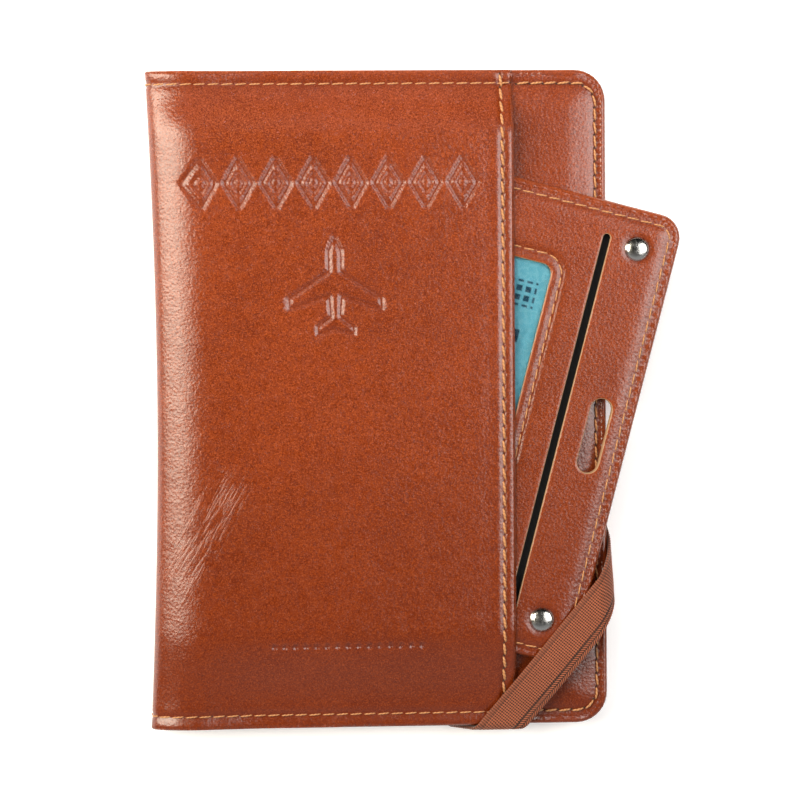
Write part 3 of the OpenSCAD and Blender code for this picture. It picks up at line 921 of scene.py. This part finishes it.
BESIDE_EDGE_SEAM = (-1.9, -1.1, -0.55, 0, 0.55, 1.1, 1.9)      # where mesh rows run beside a seam
BESIDE_MOUTH_SEAM = (-1.9, -1.1, -0.7, -0.35, 0, 0.35, 0.7, 1.0, 1.3, 1.6, 1.9, 2.2)
BESIDE_SEAM = (-1.2, -0.6, 0, 0.6, 1.2)
TURNED_EDGE_INSETS = (0.5, 0.75, 1.0, 1.2, 1.4, 1.65)          # and in from a turned edge


def make_front_skin():
    def seam(flat, depth):
        return np.maximum(bump_at(edge_seam_distance(flat), 1.0), bump_at(mouth_seam_distance(flat), 1.0))

    def press(flat, depth):
        return ornament(on_panel(flat))

    seam_u = FRONT_U - MOUTH_SEAM_INSET
    extra = [rows_near([(0.5, y), (FRONT_U - 0.6, y)], 0.8, BESIDE_EDGE_SEAM) for y in (-SEAM_Y, SEAM_Y)]
    extra.append(rows_near([(seam_u, -SEAM_Y), (seam_u, HEAD - 0.8)], 0.6, BESIDE_MOUTH_SEAM))
    for row, reach in ((LOZENGES, 7), (PLANE, 11), (BEADS, 1.4)):
        x0, x1, y = row["x0"], row["x1"], row["y"]
        extra.append(patch(PANEL_U + x0 - 1, PANEL_U + x1 + 1, y - reach, y + reach, FINE))
    skin = plate("front_skin", Outline(0, FRONT_U, FOOT, HEAD, 0.05, 0.5), outer_leather, front_top,
                 front_under, front_place, step=1.1, insets=(0.12, 0.35, 0.7), extra=extra,
                 marks=leather_marks(seam, press))
    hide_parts("pocket_panel", "spine_leather")
    return skin


def back_seam_distance(flat):
    line = Outline(-50, BACK_U - FORE_SEAM_INSET, -SEAM_Y, SEAM_Y, 1, SEAM_R)
    past_corner = 100 * (flat[:, 0] > BACK_U - CORNER_R)
    return np.minimum(edge_seam_distance(flat) + past_corner, np.abs(line.distance(flat)))


def make_back_skin():
    def top(flat, depth):
        height = -rounded(depth, 0.8) - 0.26 * bump_at(back_seam_distance(flat), 0.75)
        return np.minimum(height + 0.04 * waves(flat, 9.0, 3.1) - 0.03, 0.0)

    def under(flat, depth):
        turned = (1 - smooth((depth - TURNED_W) / 0.4)) * smooth((flat[:, 0] - 9) / 1.0)
        return -(LEATHER_T + (BACK_INSIDE - LEATHER_T) * turned) + rounded(depth, 0.4)

    def seam(flat, depth):
        return bump_at(back_seam_distance(flat), 1.0)

    skin = plate("back_skin", Outline(0, BACK_U, FOOT, HEAD, 0.05, CORNER_R), outer_leather, top, under,
                 back_place, step=1.3, insets=(0.15, 0.4, 0.8, 3.9, 4.3),
                 extra=[rows_near(back_seam_line(), 0.8, BESIDE_EDGE_SEAM[:-1])], marks=leather_marks(seam))
    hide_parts("back_leather", "spine_leather")
    return skin


def seam_line(x0, x1=SEAM_X):
    """The open stitch line from the foot's spine end round the fore-edge to the head's spine end."""
    points = [(x0, -SEAM_Y)]
    for cy, first in ((-SEAM_Y + SEAM_R, -90), (SEAM_Y - SEAM_R, 0)):
        for k in range(13):
            a = math.radians(first + 90 * k / 12)
            points.append((x1 - SEAM_R + SEAM_R * math.cos(a), cy + SEAM_R * math.sin(a)))
    points.append((x0, SEAM_Y))
    line = np.array(points)
    length = run_length(line)
    return pick(line, length, np.arange(0, length[-1], 0.4))


def back_seam_line():
    return seam_line(0.3, BACK_U - FORE_SEAM_INSET)


# ---------------------------------------------------------------- plates of the two covers

def cover_plate(name, node, material, z0, z1, inset, top_r=0.2, under_r=0.2, x0=LEAF_X, step=2.2):
    """A flat leaf of a cover between two heights, in the place of its CAD node."""
    def top(flat, depth):
        return z1 - rounded(depth, top_r)

    def under(flat, depth):
        return z0 + rounded(depth, under_r)

    outline = Outline(x0, RIGHT - inset, FOOT + inset, HEAD - inset, 0.6, CORNER_R - inset)
    made = plate(name, outline, material, top, under, flat_place, step=step, insets=(0.15, 0.5),
                 marks=leather_marks())
    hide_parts(node)
    return made


def base_seam_distance(flat):
    return np.abs(Outline(-200, SEAM_X, -SEAM_Y, SEAM_Y, 1, SEAM_R).distance(flat))


def make_base():
    """The front cover's own leather, seen past the pocket's mouth: puffed inside its seam."""
    def top(flat, depth):
        height = BASE_TOP - rounded(depth, 0.8) - 0.30 * bump_at(base_seam_distance(flat), 0.75)
        height -= 0.22 * bump_at(depth - 1.3, 0.3)
        height -= 0.42 * (1 - smooth((depth - 2.7) / 6.5))
        height += 0.05 * waves(flat, 8.0, 2.2)
        return np.minimum(height, BASE_TOP - 0.02)

    def under(flat, depth):
        return BASE_UNDER + (LEATHER_T + 0.1) * smooth((depth - TURNED_W) / 0.3) + rounded(depth, 0.5)

    def seam(flat, depth):
        return bump_at(base_seam_distance(flat), 1.0)

    base = plate("front_base", Outline(LEAF_X, RIGHT, FOOT, HEAD, 0.6, CORNER_R), outer_leather, top, under,
                 flat_place, step=1.3, insets=(0.1, 0.25, *TURNED_EDGE_INSETS),
                 extra=[rows_near(seam_line(FOLD_X + 4), 0.8, BESIDE_SEAM[:-1])], marks=leather_marks(seam))
    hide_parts("front_leather")
    return base


def make_linings():
    back = cover_plate("back_lining_cloth", "back_lining", lining, BACK_INSIDE,
                       BACK_LINING_TOP, LINING_INSET)
    front = cover_plate("front_lining_cloth", "front_lining", lining, FRONT_LINING_UNDER,
                        BASE_UNDER, LINING_INSET)
    sleeve = cover_plate("passport_sleeve_leaf", "passport_sleeve", inner_leather,
                         BACK_LINING_TOP + 0.02, SLEEVE_TOP, 1.0, 0.35, 0.1, SLEEVE_X, 1.8)
    return back, front, sleeve


CARD_SLOTS = ("upper_card_slot", "middle_card_slot", "lower_card_slot")


def make_card_slots():
    made = []
    for name in CARD_SLOTS:
        low, high = box(name)
        outline = Outline(low[0], high[0], low[1], high[1], 0.8, 1.2, CORNER_R - 1)

        def top(flat, depth):
            return high[2] - rounded(depth, 0.1)

        def under(flat, depth):
            mouth = np.abs(flat[:, 1] - (high[1] - 2.4))
            return low[2] + rounded(depth, 0.22) + 0.1 * bump_at(mouth, 0.5)

        leaf = plate(name + "_leaf", outline, inner_leather, top, under, flat_place, step=2.0,
                     insets=(0.12, 0.4), marks=leather_marks())
        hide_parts(name)
        made.append(leaf)
    return made


# ---------------------------------------------------------------- the card holder

def midway(x0, x1, length, radius):
    """An outline from x0 to x1, halfway between the card holder's head and foot."""
    return Outline(x0, x1, -(HOLDER_H + length) / 2, -(HOLDER_H - length) / 2, radius, radius)


holder_outline = Outline(-HOLDER_W, 0, -HOLDER_H, 0, HOLDER_R, HOLDER_R)
pocket_outline = Outline(-HOLDER_W + HOLDER_TURN_W, -STRIP_W, -HOLDER_H + HOLDER_TURN_W, -HOLDER_TURN_W,
                         1.7, 1.7)
window_outline = midway(-64.6, -25.6, 67.2, 2.2)
slit_outline = midway(-16.6, -15.0, 86.6, 0.8)
hang_outline = midway(HANG_X - 2.35, HANG_X + 2.35, 16.6, 2.35)
card_outline = midway(-72, -18, 85.6, 3.18)
CARD_PRINT = (-30.5, -24.0)     # where the card's plain marks start, in the card holder's axes
POCKET_DEPTH = 0.6              # half the height of the hollow that the card lies in
POCKET_SLACK = 3.8              # how far past its outline that hollow starts, in steps of 0.4 mm


def holder_seam_distance(flat):
    return np.abs(holder_outline.distance(flat) - HOLDER_SEAM_INSET)


def window_seam_distance(flat):
    return np.abs(window_outline.distance(flat) + WINDOW_SEAM_GAP)


def rivet_distance(flat):
    return np.min([np.hypot(flat[:, 0] - x, flat[:, 1] - y) for x, y in RIVET_SPOTS], axis=0)


def rivet_patches(reach, step):
    return [patch(x - reach, x + reach, y - reach, y + reach, step) for x, y in RIVET_SPOTS]


def hollow(flat):
    """How far the leather of either side is hollowed for the card."""
    return POCKET_DEPTH * smooth(pocket_outline.distance(flat) / 0.4 + POCKET_SLACK)


def make_holder_front():
    def top(flat, depth):
        outer = holder_outline.distance(flat)
        height = HOLDER_TOP - rounded(depth, 0.3) - rounded(outer, 0.9)
        height -= 0.26 * bump_at(holder_seam_distance(flat), 0.7)
        height -= 0.34 * bump_at(window_seam_distance(flat), 0.6)
        height -= 0.3 * (1 - smooth((outer - 0.9) / 4.5)) + 0.22 * bump_at(outer - 1.3, 0.3)
        height -= 0.26 * bump_at(np.maximum(rivet_distance(flat) - RIVET_R + 0.3, 0), 0.8)
        height += 0.05 * waves(flat, 7.0, 5.5)
        return np.minimum(height, HOLDER_TOP - 0.01)

    def under(flat, depth):
        return HOLDER_SPLIT + hollow(flat) + rounded(depth, 0.12)

    def seam(flat, depth):
        sewn = np.minimum(holder_seam_distance(flat), window_seam_distance(flat))
        # the ring round each rivet darkens the leather as painted shade in its crevice
        rivet = np.maximum(rivet_distance(flat) - RIVET_R, 0)
        return np.maximum(bump_at(sewn, 0.9), 1.6 * bump_at(rivet, 0.7))

    extra = [rows_near(holder_outline.ring(HOLDER_SEAM_INSET), 0.8, BESIDE_SEAM),
             rows_near(window_outline.ring(-WINDOW_SEAM_GAP), 0.8, BESIDE_SEAM)]
    front = plate("holder_front_leather", holder_outline, [holder_leather, cut_edge], top, under,
                  holder_place, holes=(window_outline, slit_outline, hang_outline), step=1.2,
                  insets=(0.1, CUT_W, *TURNED_EDGE_INSETS), extra=extra + rivet_patches(4, 0.55),
                  marks=leather_marks(seam))
    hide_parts("holder_front")
    return front


def make_holder_back():
    def top(flat, depth):
        return HOLDER_SPLIT - hollow(flat) - rounded(depth, 0.12)

    def under(flat, depth):
        height = HOLDER_UNDER + rounded(depth, 0.5) + 0.26 * bump_at(holder_seam_distance(flat), 0.75)
        height += 0.3 * (1 - smooth((rivet_distance(flat) - 2.3) / 0.3))
        return np.maximum(height, HOLDER_UNDER + 0.01)

    def seam(flat, depth):
        return bump_at(holder_seam_distance(flat), 0.9)

    extra = [rows_near(holder_outline.ring(HOLDER_SEAM_INSET), 0.8, BESIDE_SEAM)]
    back = plate("holder_back_leather", holder_outline, [holder_leather, cut_edge], top, under,
                 holder_place, holes=(hang_outline,), step=1.5, insets=(0.12, CUT_W, 0.6),
                 extra=extra + rivet_patches(3, 0.4), marks=leather_marks(seam))
    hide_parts("holder_back")
    return back


def card_print(flat, depth):
    """Plain marks down the card's right side: a square of small squares, then short bars."""
    x, y = flat[:, 0] - CARD_PRINT[0], flat[:, 1] - CARD_PRINT[1]
    cell = np.maximum(np.abs((x + 40) % 2.0 - 1.0), np.abs((y + 40) % 2.0 - 1.0)) < 0.7
    squares = cell & (np.abs(x) < 3.0) & (np.abs(y) < 3.0)
    bars = (np.abs(x) < 1.5) & (y < -6) & (y > -30) & ((y + 60) % 4.5 < 2.6)
    return (squares | bars).astype(float)


def make_holder_inside():
    low, high = box("holder_liner")
    outline = pocket_outline.grown(-0.2, 1.5)
    sheet = plate("black_liner_sheet", outline, liner, lambda f, d: high[2] + 0.02 * waves(f, 5.0, 1.0),
                  level(low[2]), holder_place, step=2.5, insets=(0.3,), marks=leather_marks())
    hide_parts("holder_liner")

    low, high = box("window_film")
    clear = plate("window_film_sheet", window_outline.grown(3, 5), film,
                  lambda f, d: high[2] - rounded(d, 0.05), level(low[2]), holder_place, step=2.5,
                  insets=(0.3,), marks=leather_marks())
    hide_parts("window_film")

    low, high = box("window_card")
    x, y = CARD_PRINT
    card = plate("teal_card_blank", card_outline, teal, lambda f, d: high[2] - rounded(d, 0.15),
                 lambda f, d: low[2] + rounded(d, 0.15), holder_place, step=1.2, insets=(0.1, 0.25),
                 extra=[patch(x - 4, x + 4, y - 31, y + 4, 0.25)], marks={"print": card_print})
    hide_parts("window_card")
    return sheet, clear, card


def make_rivets():
    centres = [from_holder(x, y) for x, y in RIVET_SPOTS]
    rim_z = HOLDER_TOP - 0.22
    ball = [(RIVET_R * 0.93 * math.sin(a), rim_z + 0.28 + 0.72 * math.cos(a))
            for a in np.linspace(QUARTER, 0.04, 12)]
    profile = [(1.2, rim_z - 0.1), (RIVET_R - 0.12, rim_z - 0.1), (RIVET_R, rim_z), (RIVET_R, rim_z + 0.12),
               (RIVET_R - 0.1, rim_z + 0.22), (RIVET_R * 0.95, rim_z + 0.25)] + ball
    caps = lathe("rivet_cap_domes", profile, centres, nickel, 64)
    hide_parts("rivet_caps")
    low = box("rivet_posts")[0][2]
    back = [(0.5, low + 0.06), (0.7, low), (1.9, low), (2.15, low + 0.1), (2.2, low + 0.25),
            (1.0, low + 0.32), (1.0, rim_z - 0.1)]
    posts = lathe("rivet_back_discs", back, centres, steel)
    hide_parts("rivet_posts")
    return caps, posts


# ---------------------------------------------------------------- the elastic band

BAND_W = 8.7
BAND_T = 0.8
band_axis = joint_axis("band_slip")
BAND_OUT = np.array(band_axis[:2])                       # straight out over the corner
BAND_ALONG = np.array([-band_axis[1], band_axis[0]])     # from the foot up to the fore-edge
BAND_CORNER_GAP = 18.0                                   # cover's square corner to the band's middle
BAND_START = np.array([RIGHT, FOOT]) - BAND_OUT * BAND_CORNER_GAP
BAND_FORE = {"side": 1.3, "rx": 3.9, "rz": 4.4, "lean": 0.8}    # how it bends past the fore-edge
BAND_FOOT = {"side": 0.75, "rx": 1.5, "rz": 1.5, "lean": 0.0}   # and past the foot
BAND_FORE_TOP, BAND_FOOT_TOP = 11.35, 9.45               # its middle layer's height at each bend
FORE_FROM = RIGHT + BAND_FORE["side"] - BAND_FORE["rx"]         # where the bends start, along X
FOOT_FROM = FOOT - BAND_FOOT["side"] + BAND_FOOT["rx"]          # and along Y
BAND_END_Z = BACK_INSIDE + 0.35
BAND_TUCK = 2.4            # how far each sewn end reaches in
BAND_CURL = 0.6            # rounding where it turns in
BAND_TAPER, BAND_TAPER_Y = 0.75, -46.0    # how much closer to the fore-edge it runs, towards the head
BAND_DRIFT = 0.9           # how far it slips towards the head as it rounds the fore-edge


def band_height(y):
    """Height of the band's middle layer over the cover: low at the foot, then over the card holder."""
    return BAND_FOOT_TOP + (BAND_FORE_TOP - BAND_FOOT_TOP) * smooth((y - FOOT + 1.0) / 15.0)


def wrap(q, top, bend):
    """A strip that runs level, bends down past an edge and tucks in at the bottom. q is the length
    along it from the start of the bend; gives how far out it has come and its height."""
    arc = quarter_length(bend["rx"], bend["rz"])
    drop = np.maximum(top - bend["rz"] - BAND_END_Z - BAND_CURL, 0.1)
    a = np.clip(q / arc, 0, 1) * QUARTER
    out = np.where(q < 0, q, bend["rx"] * np.sin(a))
    down = np.clip(q - arc, 0, drop)
    t = np.clip((q - arc - drop) / (BAND_CURL * QUARTER), 0, 1) * QUARTER
    out = out - bend["lean"] * smooth(down / drop) - BAND_CURL * (1 - np.cos(t))
    out = out - np.maximum(q - arc - drop - BAND_CURL * QUARTER, 0)
    return out, top - bend["rz"] * (1 - np.cos(a)) - down - BAND_CURL * np.sin(t)


def wrap_length(top, bend):
    """Length of a strip from the start of its bend to its end."""
    arc = quarter_length(bend["rx"], bend["rz"])
    return arc + top - bend["rz"] - BAND_END_Z - BAND_CURL + BAND_CURL * QUARTER + BAND_TUCK


def band_point(s, t):
    """The band's middle layer: s along it from its middle, t across it, outward over the corner."""
    flat = BAND_START + s[:, None] * BAND_ALONG + t[:, None] * BAND_OUT
    x, y = flat[:, 0], flat[:, 1]
    top = band_height(np.maximum(y, FOOT))
    fore_out, fore_z = wrap(x - FORE_FROM, top, BAND_FORE)
    foot_out, foot_z = wrap(FOOT_FROM - y, top, BAND_FOOT)
    over_fore = x > FORE_FROM
    over_foot = y < FOOT_FROM
    round_edge = smooth(fore_out / BAND_FORE["rx"]) * over_fore
    x_fore = FORE_FROM + fore_out - BAND_TAPER * round_edge * smooth((y - BAND_TAPER_Y) / 14)
    return np.column_stack([np.where(over_fore, x_fore, x),
                            np.where(over_foot, FOOT_FROM - foot_out, y + BAND_DRIFT * round_edge),
                            np.where(over_fore, fore_z, np.where(over_foot, foot_z, top))])


def band_ends(t):
    """Where each lengthwise line of the band ends, at its sewn ends."""
    start = BAND_START + t[:, None] * BAND_OUT
    fore_x = FORE_FROM + wrap_length(BAND_FORE_TOP, BAND_FORE)
    foot_y = FOOT_FROM - wrap_length(BAND_FOOT_TOP, BAND_FOOT)
    return (foot_y - start[:, 1]) / BAND_ALONG[1], (fore_x - start[:, 0]) / BAND_ALONG[0]


RIB = 0.56                 # from one cross rib to the next
COLUMN = 0.47              # from one lengthwise warp cord to the next
SELVEDGE_W = 1.1           # the plain edge on the cover's side
CORD_W = 1.9               # the double cord along the outer edge


def band_relief(s, across):
    """The woven relief: ribs crossed by warp cords, a plain edge, and a double cord past a groove."""
    inner, outer = across * BAND_W, (1 - across) * BAND_W
    gap = (0.5 - 0.5 * np.cos(2 * np.pi * s / RIB)) ** 0.8
    warp = 0.5 - 0.5 * np.cos(2 * np.pi * (inner - SELVEDGE_W) / COLUMN)
    body = 1 - gap * (0.3 + 0.7 * warp)
    plain = 0.8 - 0.35 * gap
    lean = np.abs(outer - CORD_W / 2) * 0.9
    cord = 1 - 0.85 * (0.5 - 0.5 * np.cos(2 * np.pi * (s + lean) / RIB)) ** 1.3
    cord = cord * (1 - 0.6 * bump_at(outer - CORD_W / 2, 0.12))
    relief = np.where(outer < CORD_W, cord, np.where(inner < SELVEDGE_W, plain, body))
    relief = relief * (1 - 0.9 * bump_at(outer - CORD_W, 0.16))
    return relief * (1 - 0.35 * bump_at(inner - SELVEDGE_W, 0.1))


def make_band():
    across_count, along_count = 110, 700
    across = np.linspace(0, 1, across_count)
    foot, fore = band_ends((across - 0.5) * BAND_W)
    s = (foot[:, None] + (fore - foot)[:, None] * np.linspace(0, 1, along_count)).ravel()
    a = np.repeat(across, along_count)
    t = (a - 0.5) * BAND_W
    centre = band_point(s, t)
    ds = band_point(s + 0.05, t) - band_point(s - 0.05, t)
    dt = band_point(s, t + 0.05) - band_point(s, t - 0.05)
    normal = unit(np.cross(dt, ds))
    normal *= np.sign(normal[:, 2] + normal[:, 0] * 0.5 - normal[:, 1] * 0.5)[:, None]
    relief = band_relief(s, a)
    half = BAND_T / 2 - rounded(np.minimum(a, 1 - a) * BAND_W, BAND_T / 2 - 0.06)
    upper = centre + normal * (half - 0.24 + 0.24 * relief)[:, None]
    lower = centre - normal * (half - 0.13 + 0.06 * relief)[:, None]
    faces, rim, n = grid_faces(across_count, along_count)
    faces += [(p, q, q + n, p + n) for p, q in rim]
    band = make_object("elastic_strap", np.concatenate([upper, lower]), faces, elastic,
                       {"rib": np.tile(relief, 2)})
    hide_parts("elastic_band", "elastic_ends")
    return band


# ---------------------------------------------------------------- seams

def sew(name, route, normals, style):
    """One line of stitches and its needle holes."""
    sewn = stitches(name, route, normals, style)
    holes = needle_holes(name + "_holes", route, normals, style)
    return sewn, holes


def skin_seam(name, path, outward, line, height=-0.26, style=PLAIN):
    """Stitches along a line of a skin, given in the skin's own flat axes."""
    route = skin_place(path, outward)(line, np.full(len(line), height))
    return sew(name, route, path_normals(path, line[:, 0], line[:, 1], outward), style)


def flat_seam(name, line, height, style=PLAIN, place=flat_place, up=1.0):
    """Stitches along a line at one height."""
    line = np.asarray(line, float)
    route = place(line, np.full(len(line), height))
    return sew(name, route, np.tile([0.0, 0.0, up], (len(line), 1)), style)


def bend_front(piece):
    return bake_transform(piece)


def bend_back(piece):
    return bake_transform(piece)


def ride_all(pieces, body):
    for piece in pieces:
        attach(piece, body)


def make_skin_seams():
    for name, y in (("front_head_stitches", SEAM_Y), ("front_foot_stitches", -SEAM_Y)):
        for piece in skin_seam(name, front_path, 1.0, dense((0.2, y), (FRONT_U - 0.5, y)), style=SUNK):
            bend_front(piece)
    mouth_u = FRONT_U - MOUTH_SEAM_INSET
    line = dense((mouth_u, MOUTH_SEAM[0]), (mouth_u, MOUTH_SEAM[1]))
    sewn, holes = skin_seam("mouth_stitches", front_path, 1.0, line, -0.24, BOLD)
    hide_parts("mouth_stitching")
    ride_all((sewn, holes), "front_cover")
    # the base's own edge, past the mouth
    sewn, holes = flat_seam("base_stitches", seam_line(MOUTH + 0.6), BASE_TOP - 0.42)
    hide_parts("front_stitching")
    ride_all((sewn, holes), "front_cover")
    sewn, holes = skin_seam("back_stitches", back_path, -1.0, back_seam_line(), -0.24)
    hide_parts("back_stitching")
    bend_back(sewn)
    bend_back(holes)


def make_inner_seams():
    ride_all(flat_seam("sleeve_stitches", seam_line(SLEEVE_X + 2), SLEEVE_TOP - 0.02), "back_cover")
    # on each step of the card slots
    x = box("slot_stitching")[0][0]
    for name, below in zip(CARD_SLOTS, (*CARD_SLOTS[1:], None)):
        low, high = box(name)
        y0 = box(below)[1][1] + 0.8 if below else low[1] + 3
        line = dense((x, y0), (x, high[1] - 1.0))
        sewn, holes = flat_seam(name + "_stitches", line, low[2] + 0.02, up=-1.0)
        if name == CARD_SLOTS[0]:
            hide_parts("slot_stitching")
        ride_all((sewn, holes), "front_cover")


def make_holder_seams():
    ring = holder_outline.ring(HOLDER_SEAM_INSET)
    front = flat_seam("holder_stitches", ring, HOLDER_TOP - 0.42, SUNK, holder_place)
    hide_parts("holder_stitching")
    rear = flat_seam("holder_rear_stitches", ring, HOLDER_UNDER + 0.24, SUNK, holder_place, up=-1.0)
    ring = window_outline.ring(-WINDOW_SEAM_GAP)
    window = flat_seam("window_stitches", ring, HOLDER_TOP - 0.34, SUNK, holder_place)
    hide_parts("window_stitching")
    ride_all(front + rear + window, "card_holder")


# ---------------------------------------------------------------- the spine's lining

HINGE_CLOTH_T = 0.4
HINGE_CLOTH_BOW = 0.7      # how much of the spine's own bow it follows


def lining_strip(name, section, fold):
    """A cloth strip along the spine: a section of (x, z) points run from foot to head."""
    ys = np.linspace(FOOT + 1.0, HEAD - 1.0, 90)
    section = np.array(section, float)
    length = run_length(section)
    line = pick(section, length, np.linspace(0, length[-1], 26))
    along = unit(np.gradient(line, axis=0))
    inward = np.column_stack([along[:, 1], -along[:, 0]])
    points = []
    for offset in (0.0, HINGE_CLOTH_T):
        here = line + inward * offset
        loose = np.clip((FOLD_X + 2.6 - here[:, 0]) / (FOLD_X - LEFT + 0.2), 0, 1)
        for y in ys:
            bow = HINGE_CLOTH_BOW * (spine_left(y) - LEFT)
            points += [(x, y, z) for x, z in zip(here[:, 0] + bow * loose, here[:, 1])]
    faces, rim, n = grid_faces(len(ys), len(line))
    faces += [(q, p, p + n, q + n) for p, q in rim]
    strip = make_object(name, points, faces, lining)
    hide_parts("spine_lining")
    fold(strip)
    return strip, (length[-1] * MM, (ys[-1] - ys[0]) * MM)


def make_spine_lining():
    """The hinge cloth inside the spine. It is cut at the spine's middle into two halves, and its lower
    half laps over the back cover's lining."""
    wall = LEFT + 2.4          # where the cloth runs up the spine
    middle = 4.4               # the height at which it is cut
    over_lining = BACK_LINING_TOP + 0.02
    under_lining = FRONT_LINING_UNDER - 0.02

    def fold_up(strip):
        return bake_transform(strip)

    def fold_down(strip):
        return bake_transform(strip)

    upper, _ = lining_strip("spine_lining_upper", [
        (wall, middle - 0.5), (wall, middle + 0.3), (wall + 0.2, middle + 0.7),
        (wall + 0.7, under_lining - 0.25), (wall + 1.8, under_lining)], fold_up)
    lower, cut = lining_strip("spine_lining_lower", [
        (FOLD_X + 9.8, over_lining), (FOLD_X + 2.6, over_lining + 0.05),
        (wall + 0.3, over_lining + 0.4), (wall, middle)], fold_down)


# ---------------------------------------------------------------- everything, light and camera

def finish_cad_nodes():
    """The two boards stay the CAD's own solids, sealed inside the covers."""
    for name in ("back_board", "front_board"):
        node = frame["nodes"][name]
        node.data.materials.clear()
        node.data.materials.append(greyboard)


def make_floor():
    size, n = 1500.0, 24
    at = np.linspace(-size, size, n)
    points = [(x, y, -0.02) for y in at for x in at]
    starts = [r * n + c for r in range(n - 1) for c in range(n - 1)]
    faces = [(k, k + 1, k + 1 + n, k + n) for k in starts]
    floor = make_object("floor", points, faces, floor_material())


WARM = (1.0, 0.92, 0.76)
PALE = (1.0, 0.98, 0.95)


def area_light(name, place, size, power, color=PALE, in_gloss=True):
    """A soft rectangular lamp that faces the holder; some light it without being mirrored in it."""
    data = bpy.data.lights.new(name, "AREA")
    data.shape = "RECTANGLE"
    data.size, data.size_y = size
    data.energy = power
    data.color = color
    lamp = bpy.data.objects.new(name, data)
    bpy.context.scene.collection.objects.link(lamp)
    lamp.location = place
    lamp.rotation_euler = (-Vector(place)).to_track_quat("-Z", "Y").to_euler()
    lamp.visible_glossy = in_gloss


def make_sky():
    """A dim room, a little lighter low down and towards the foot."""
    world = bpy.data.worlds.new("studio")
    world.use_nodes = True
    tree = world.node_tree

    def ramp(socket, low, high, top):
        made = tree.nodes.new("ShaderNodeMapRange")
        made.interpolation_type = "SMOOTHSTEP"
        for key, value in (("From Min", low), ("From Max", high), ("To Min", 0.0), ("To Max", top)):
            made.inputs[key].default_value = value
        tree.links.new(socket, made.inputs["Value"])
        return made.outputs[0]

    where = tree.nodes.new("ShaderNodeTexCoord").outputs["Generated"]
    apart = tree.nodes.new("ShaderNodeSeparateXYZ")
    tree.links.new(where, apart.inputs[0])
    total = tree.nodes.new("ShaderNodeMath")
    tree.links.new(ramp(apart.outputs[1], -0.15, -0.7, 7.0), total.inputs[0])
    tree.links.new(ramp(apart.outputs[2], 0.75, 0.1, 0.06), total.inputs[1])
    base = tree.nodes.new("ShaderNodeMath")
    tree.links.new(total.outputs[0], base.inputs[0])
    base.inputs[1].default_value = 0.015
    tree.links.new(base.outputs[0], tree.nodes["Background"].inputs[1])
    bpy.context.scene.world = world


def make_light():
    area_light("head_softbox", (0.0, 0.22, 0.22), (0.3, 0.16), 0.85, in_gloss=False)
    area_light("left_softbox", (-0.61, 0.14, 0.52), (0.40, 0.85), 10.5, WARM)
    area_light("right_softbox", (0.48, 0.06, 0.64), (0.42, 0.5), 3.4)
    make_sky()
    bpy.context.scene.view_settings.view_transform = "Standard"


VIEW_CENTRE = (4.74, -0.08)    # the point of the cover that the camera looks at
VIEW_WIDTH = 174.15            # millimetres of the cover's level that fill the picture
VIEW_DISTANCE = 0.8            # metres from that point to the camera
VIEW_FROM_SPINE = 3.92         # degrees that the camera leans to the spine's side
VIEW_FROM_HEAD = 3.10          # degrees that it leans to the head
VIEW_ROLL = -0.39              # degrees that it is turned about its own axis


def make_camera():
    data = bpy.data.cameras.new("camera")
    data.sensor_width = 36.0
    data.lens = data.sensor_width * VIEW_DISTANCE / (VIEW_WIDTH * MM)
    data.clip_start, data.clip_end = 0.05, 10.0
    camera = bpy.data.objects.new("camera", data)
    bpy.context.scene.collection.objects.link(camera)
    lean, nod, roll = (math.radians(a) for a in (VIEW_FROM_SPINE, VIEW_FROM_HEAD, VIEW_ROLL))
    back = Vector((-math.sin(lean) * math.cos(nod), math.sin(nod), math.cos(lean) * math.cos(nod)))
    right = Vector((0, 1, 0)).cross(back).normalized()
    up = back.cross(right)
    turned_right = right * math.cos(roll) + up * math.sin(roll)
    turned_up = up * math.cos(roll) - right * math.sin(roll)
    camera.rotation_euler = Matrix((turned_right, turned_up, back)).transposed().to_euler()
    target = Vector((VIEW_CENTRE[0], VIEW_CENTRE[1], BASE_TOP)) * MM
    camera.location = target + back * VIEW_DISTANCE
    bpy.context.scene.camera = camera


def make_everything():
    bend_front(make_front_skin())
    bend_back(make_back_skin())
    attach(make_base(), "front_cover")
    back, front, sleeve = make_linings()
    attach(back, "back_cover")
    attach(front, "front_cover")
    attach(sleeve, "back_cover")
    ride_all(make_card_slots(), "front_cover")
    make_spine_lining()
    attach(make_holder_front(), "card_holder")
    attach(make_holder_back(), "card_holder")
    sheet, clear, card = make_holder_inside()
    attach(sheet, "card_holder")
    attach(clear, "card_holder")
    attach(card, "card")
    ride_all(make_rivets(), "card_holder")
    make_skin_seams()
    make_inner_seams()
    make_holder_seams()
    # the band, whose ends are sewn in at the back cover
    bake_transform(make_band())


make_camera()
make_everything()
finish_cad_nodes()
make_floor()
make_light()
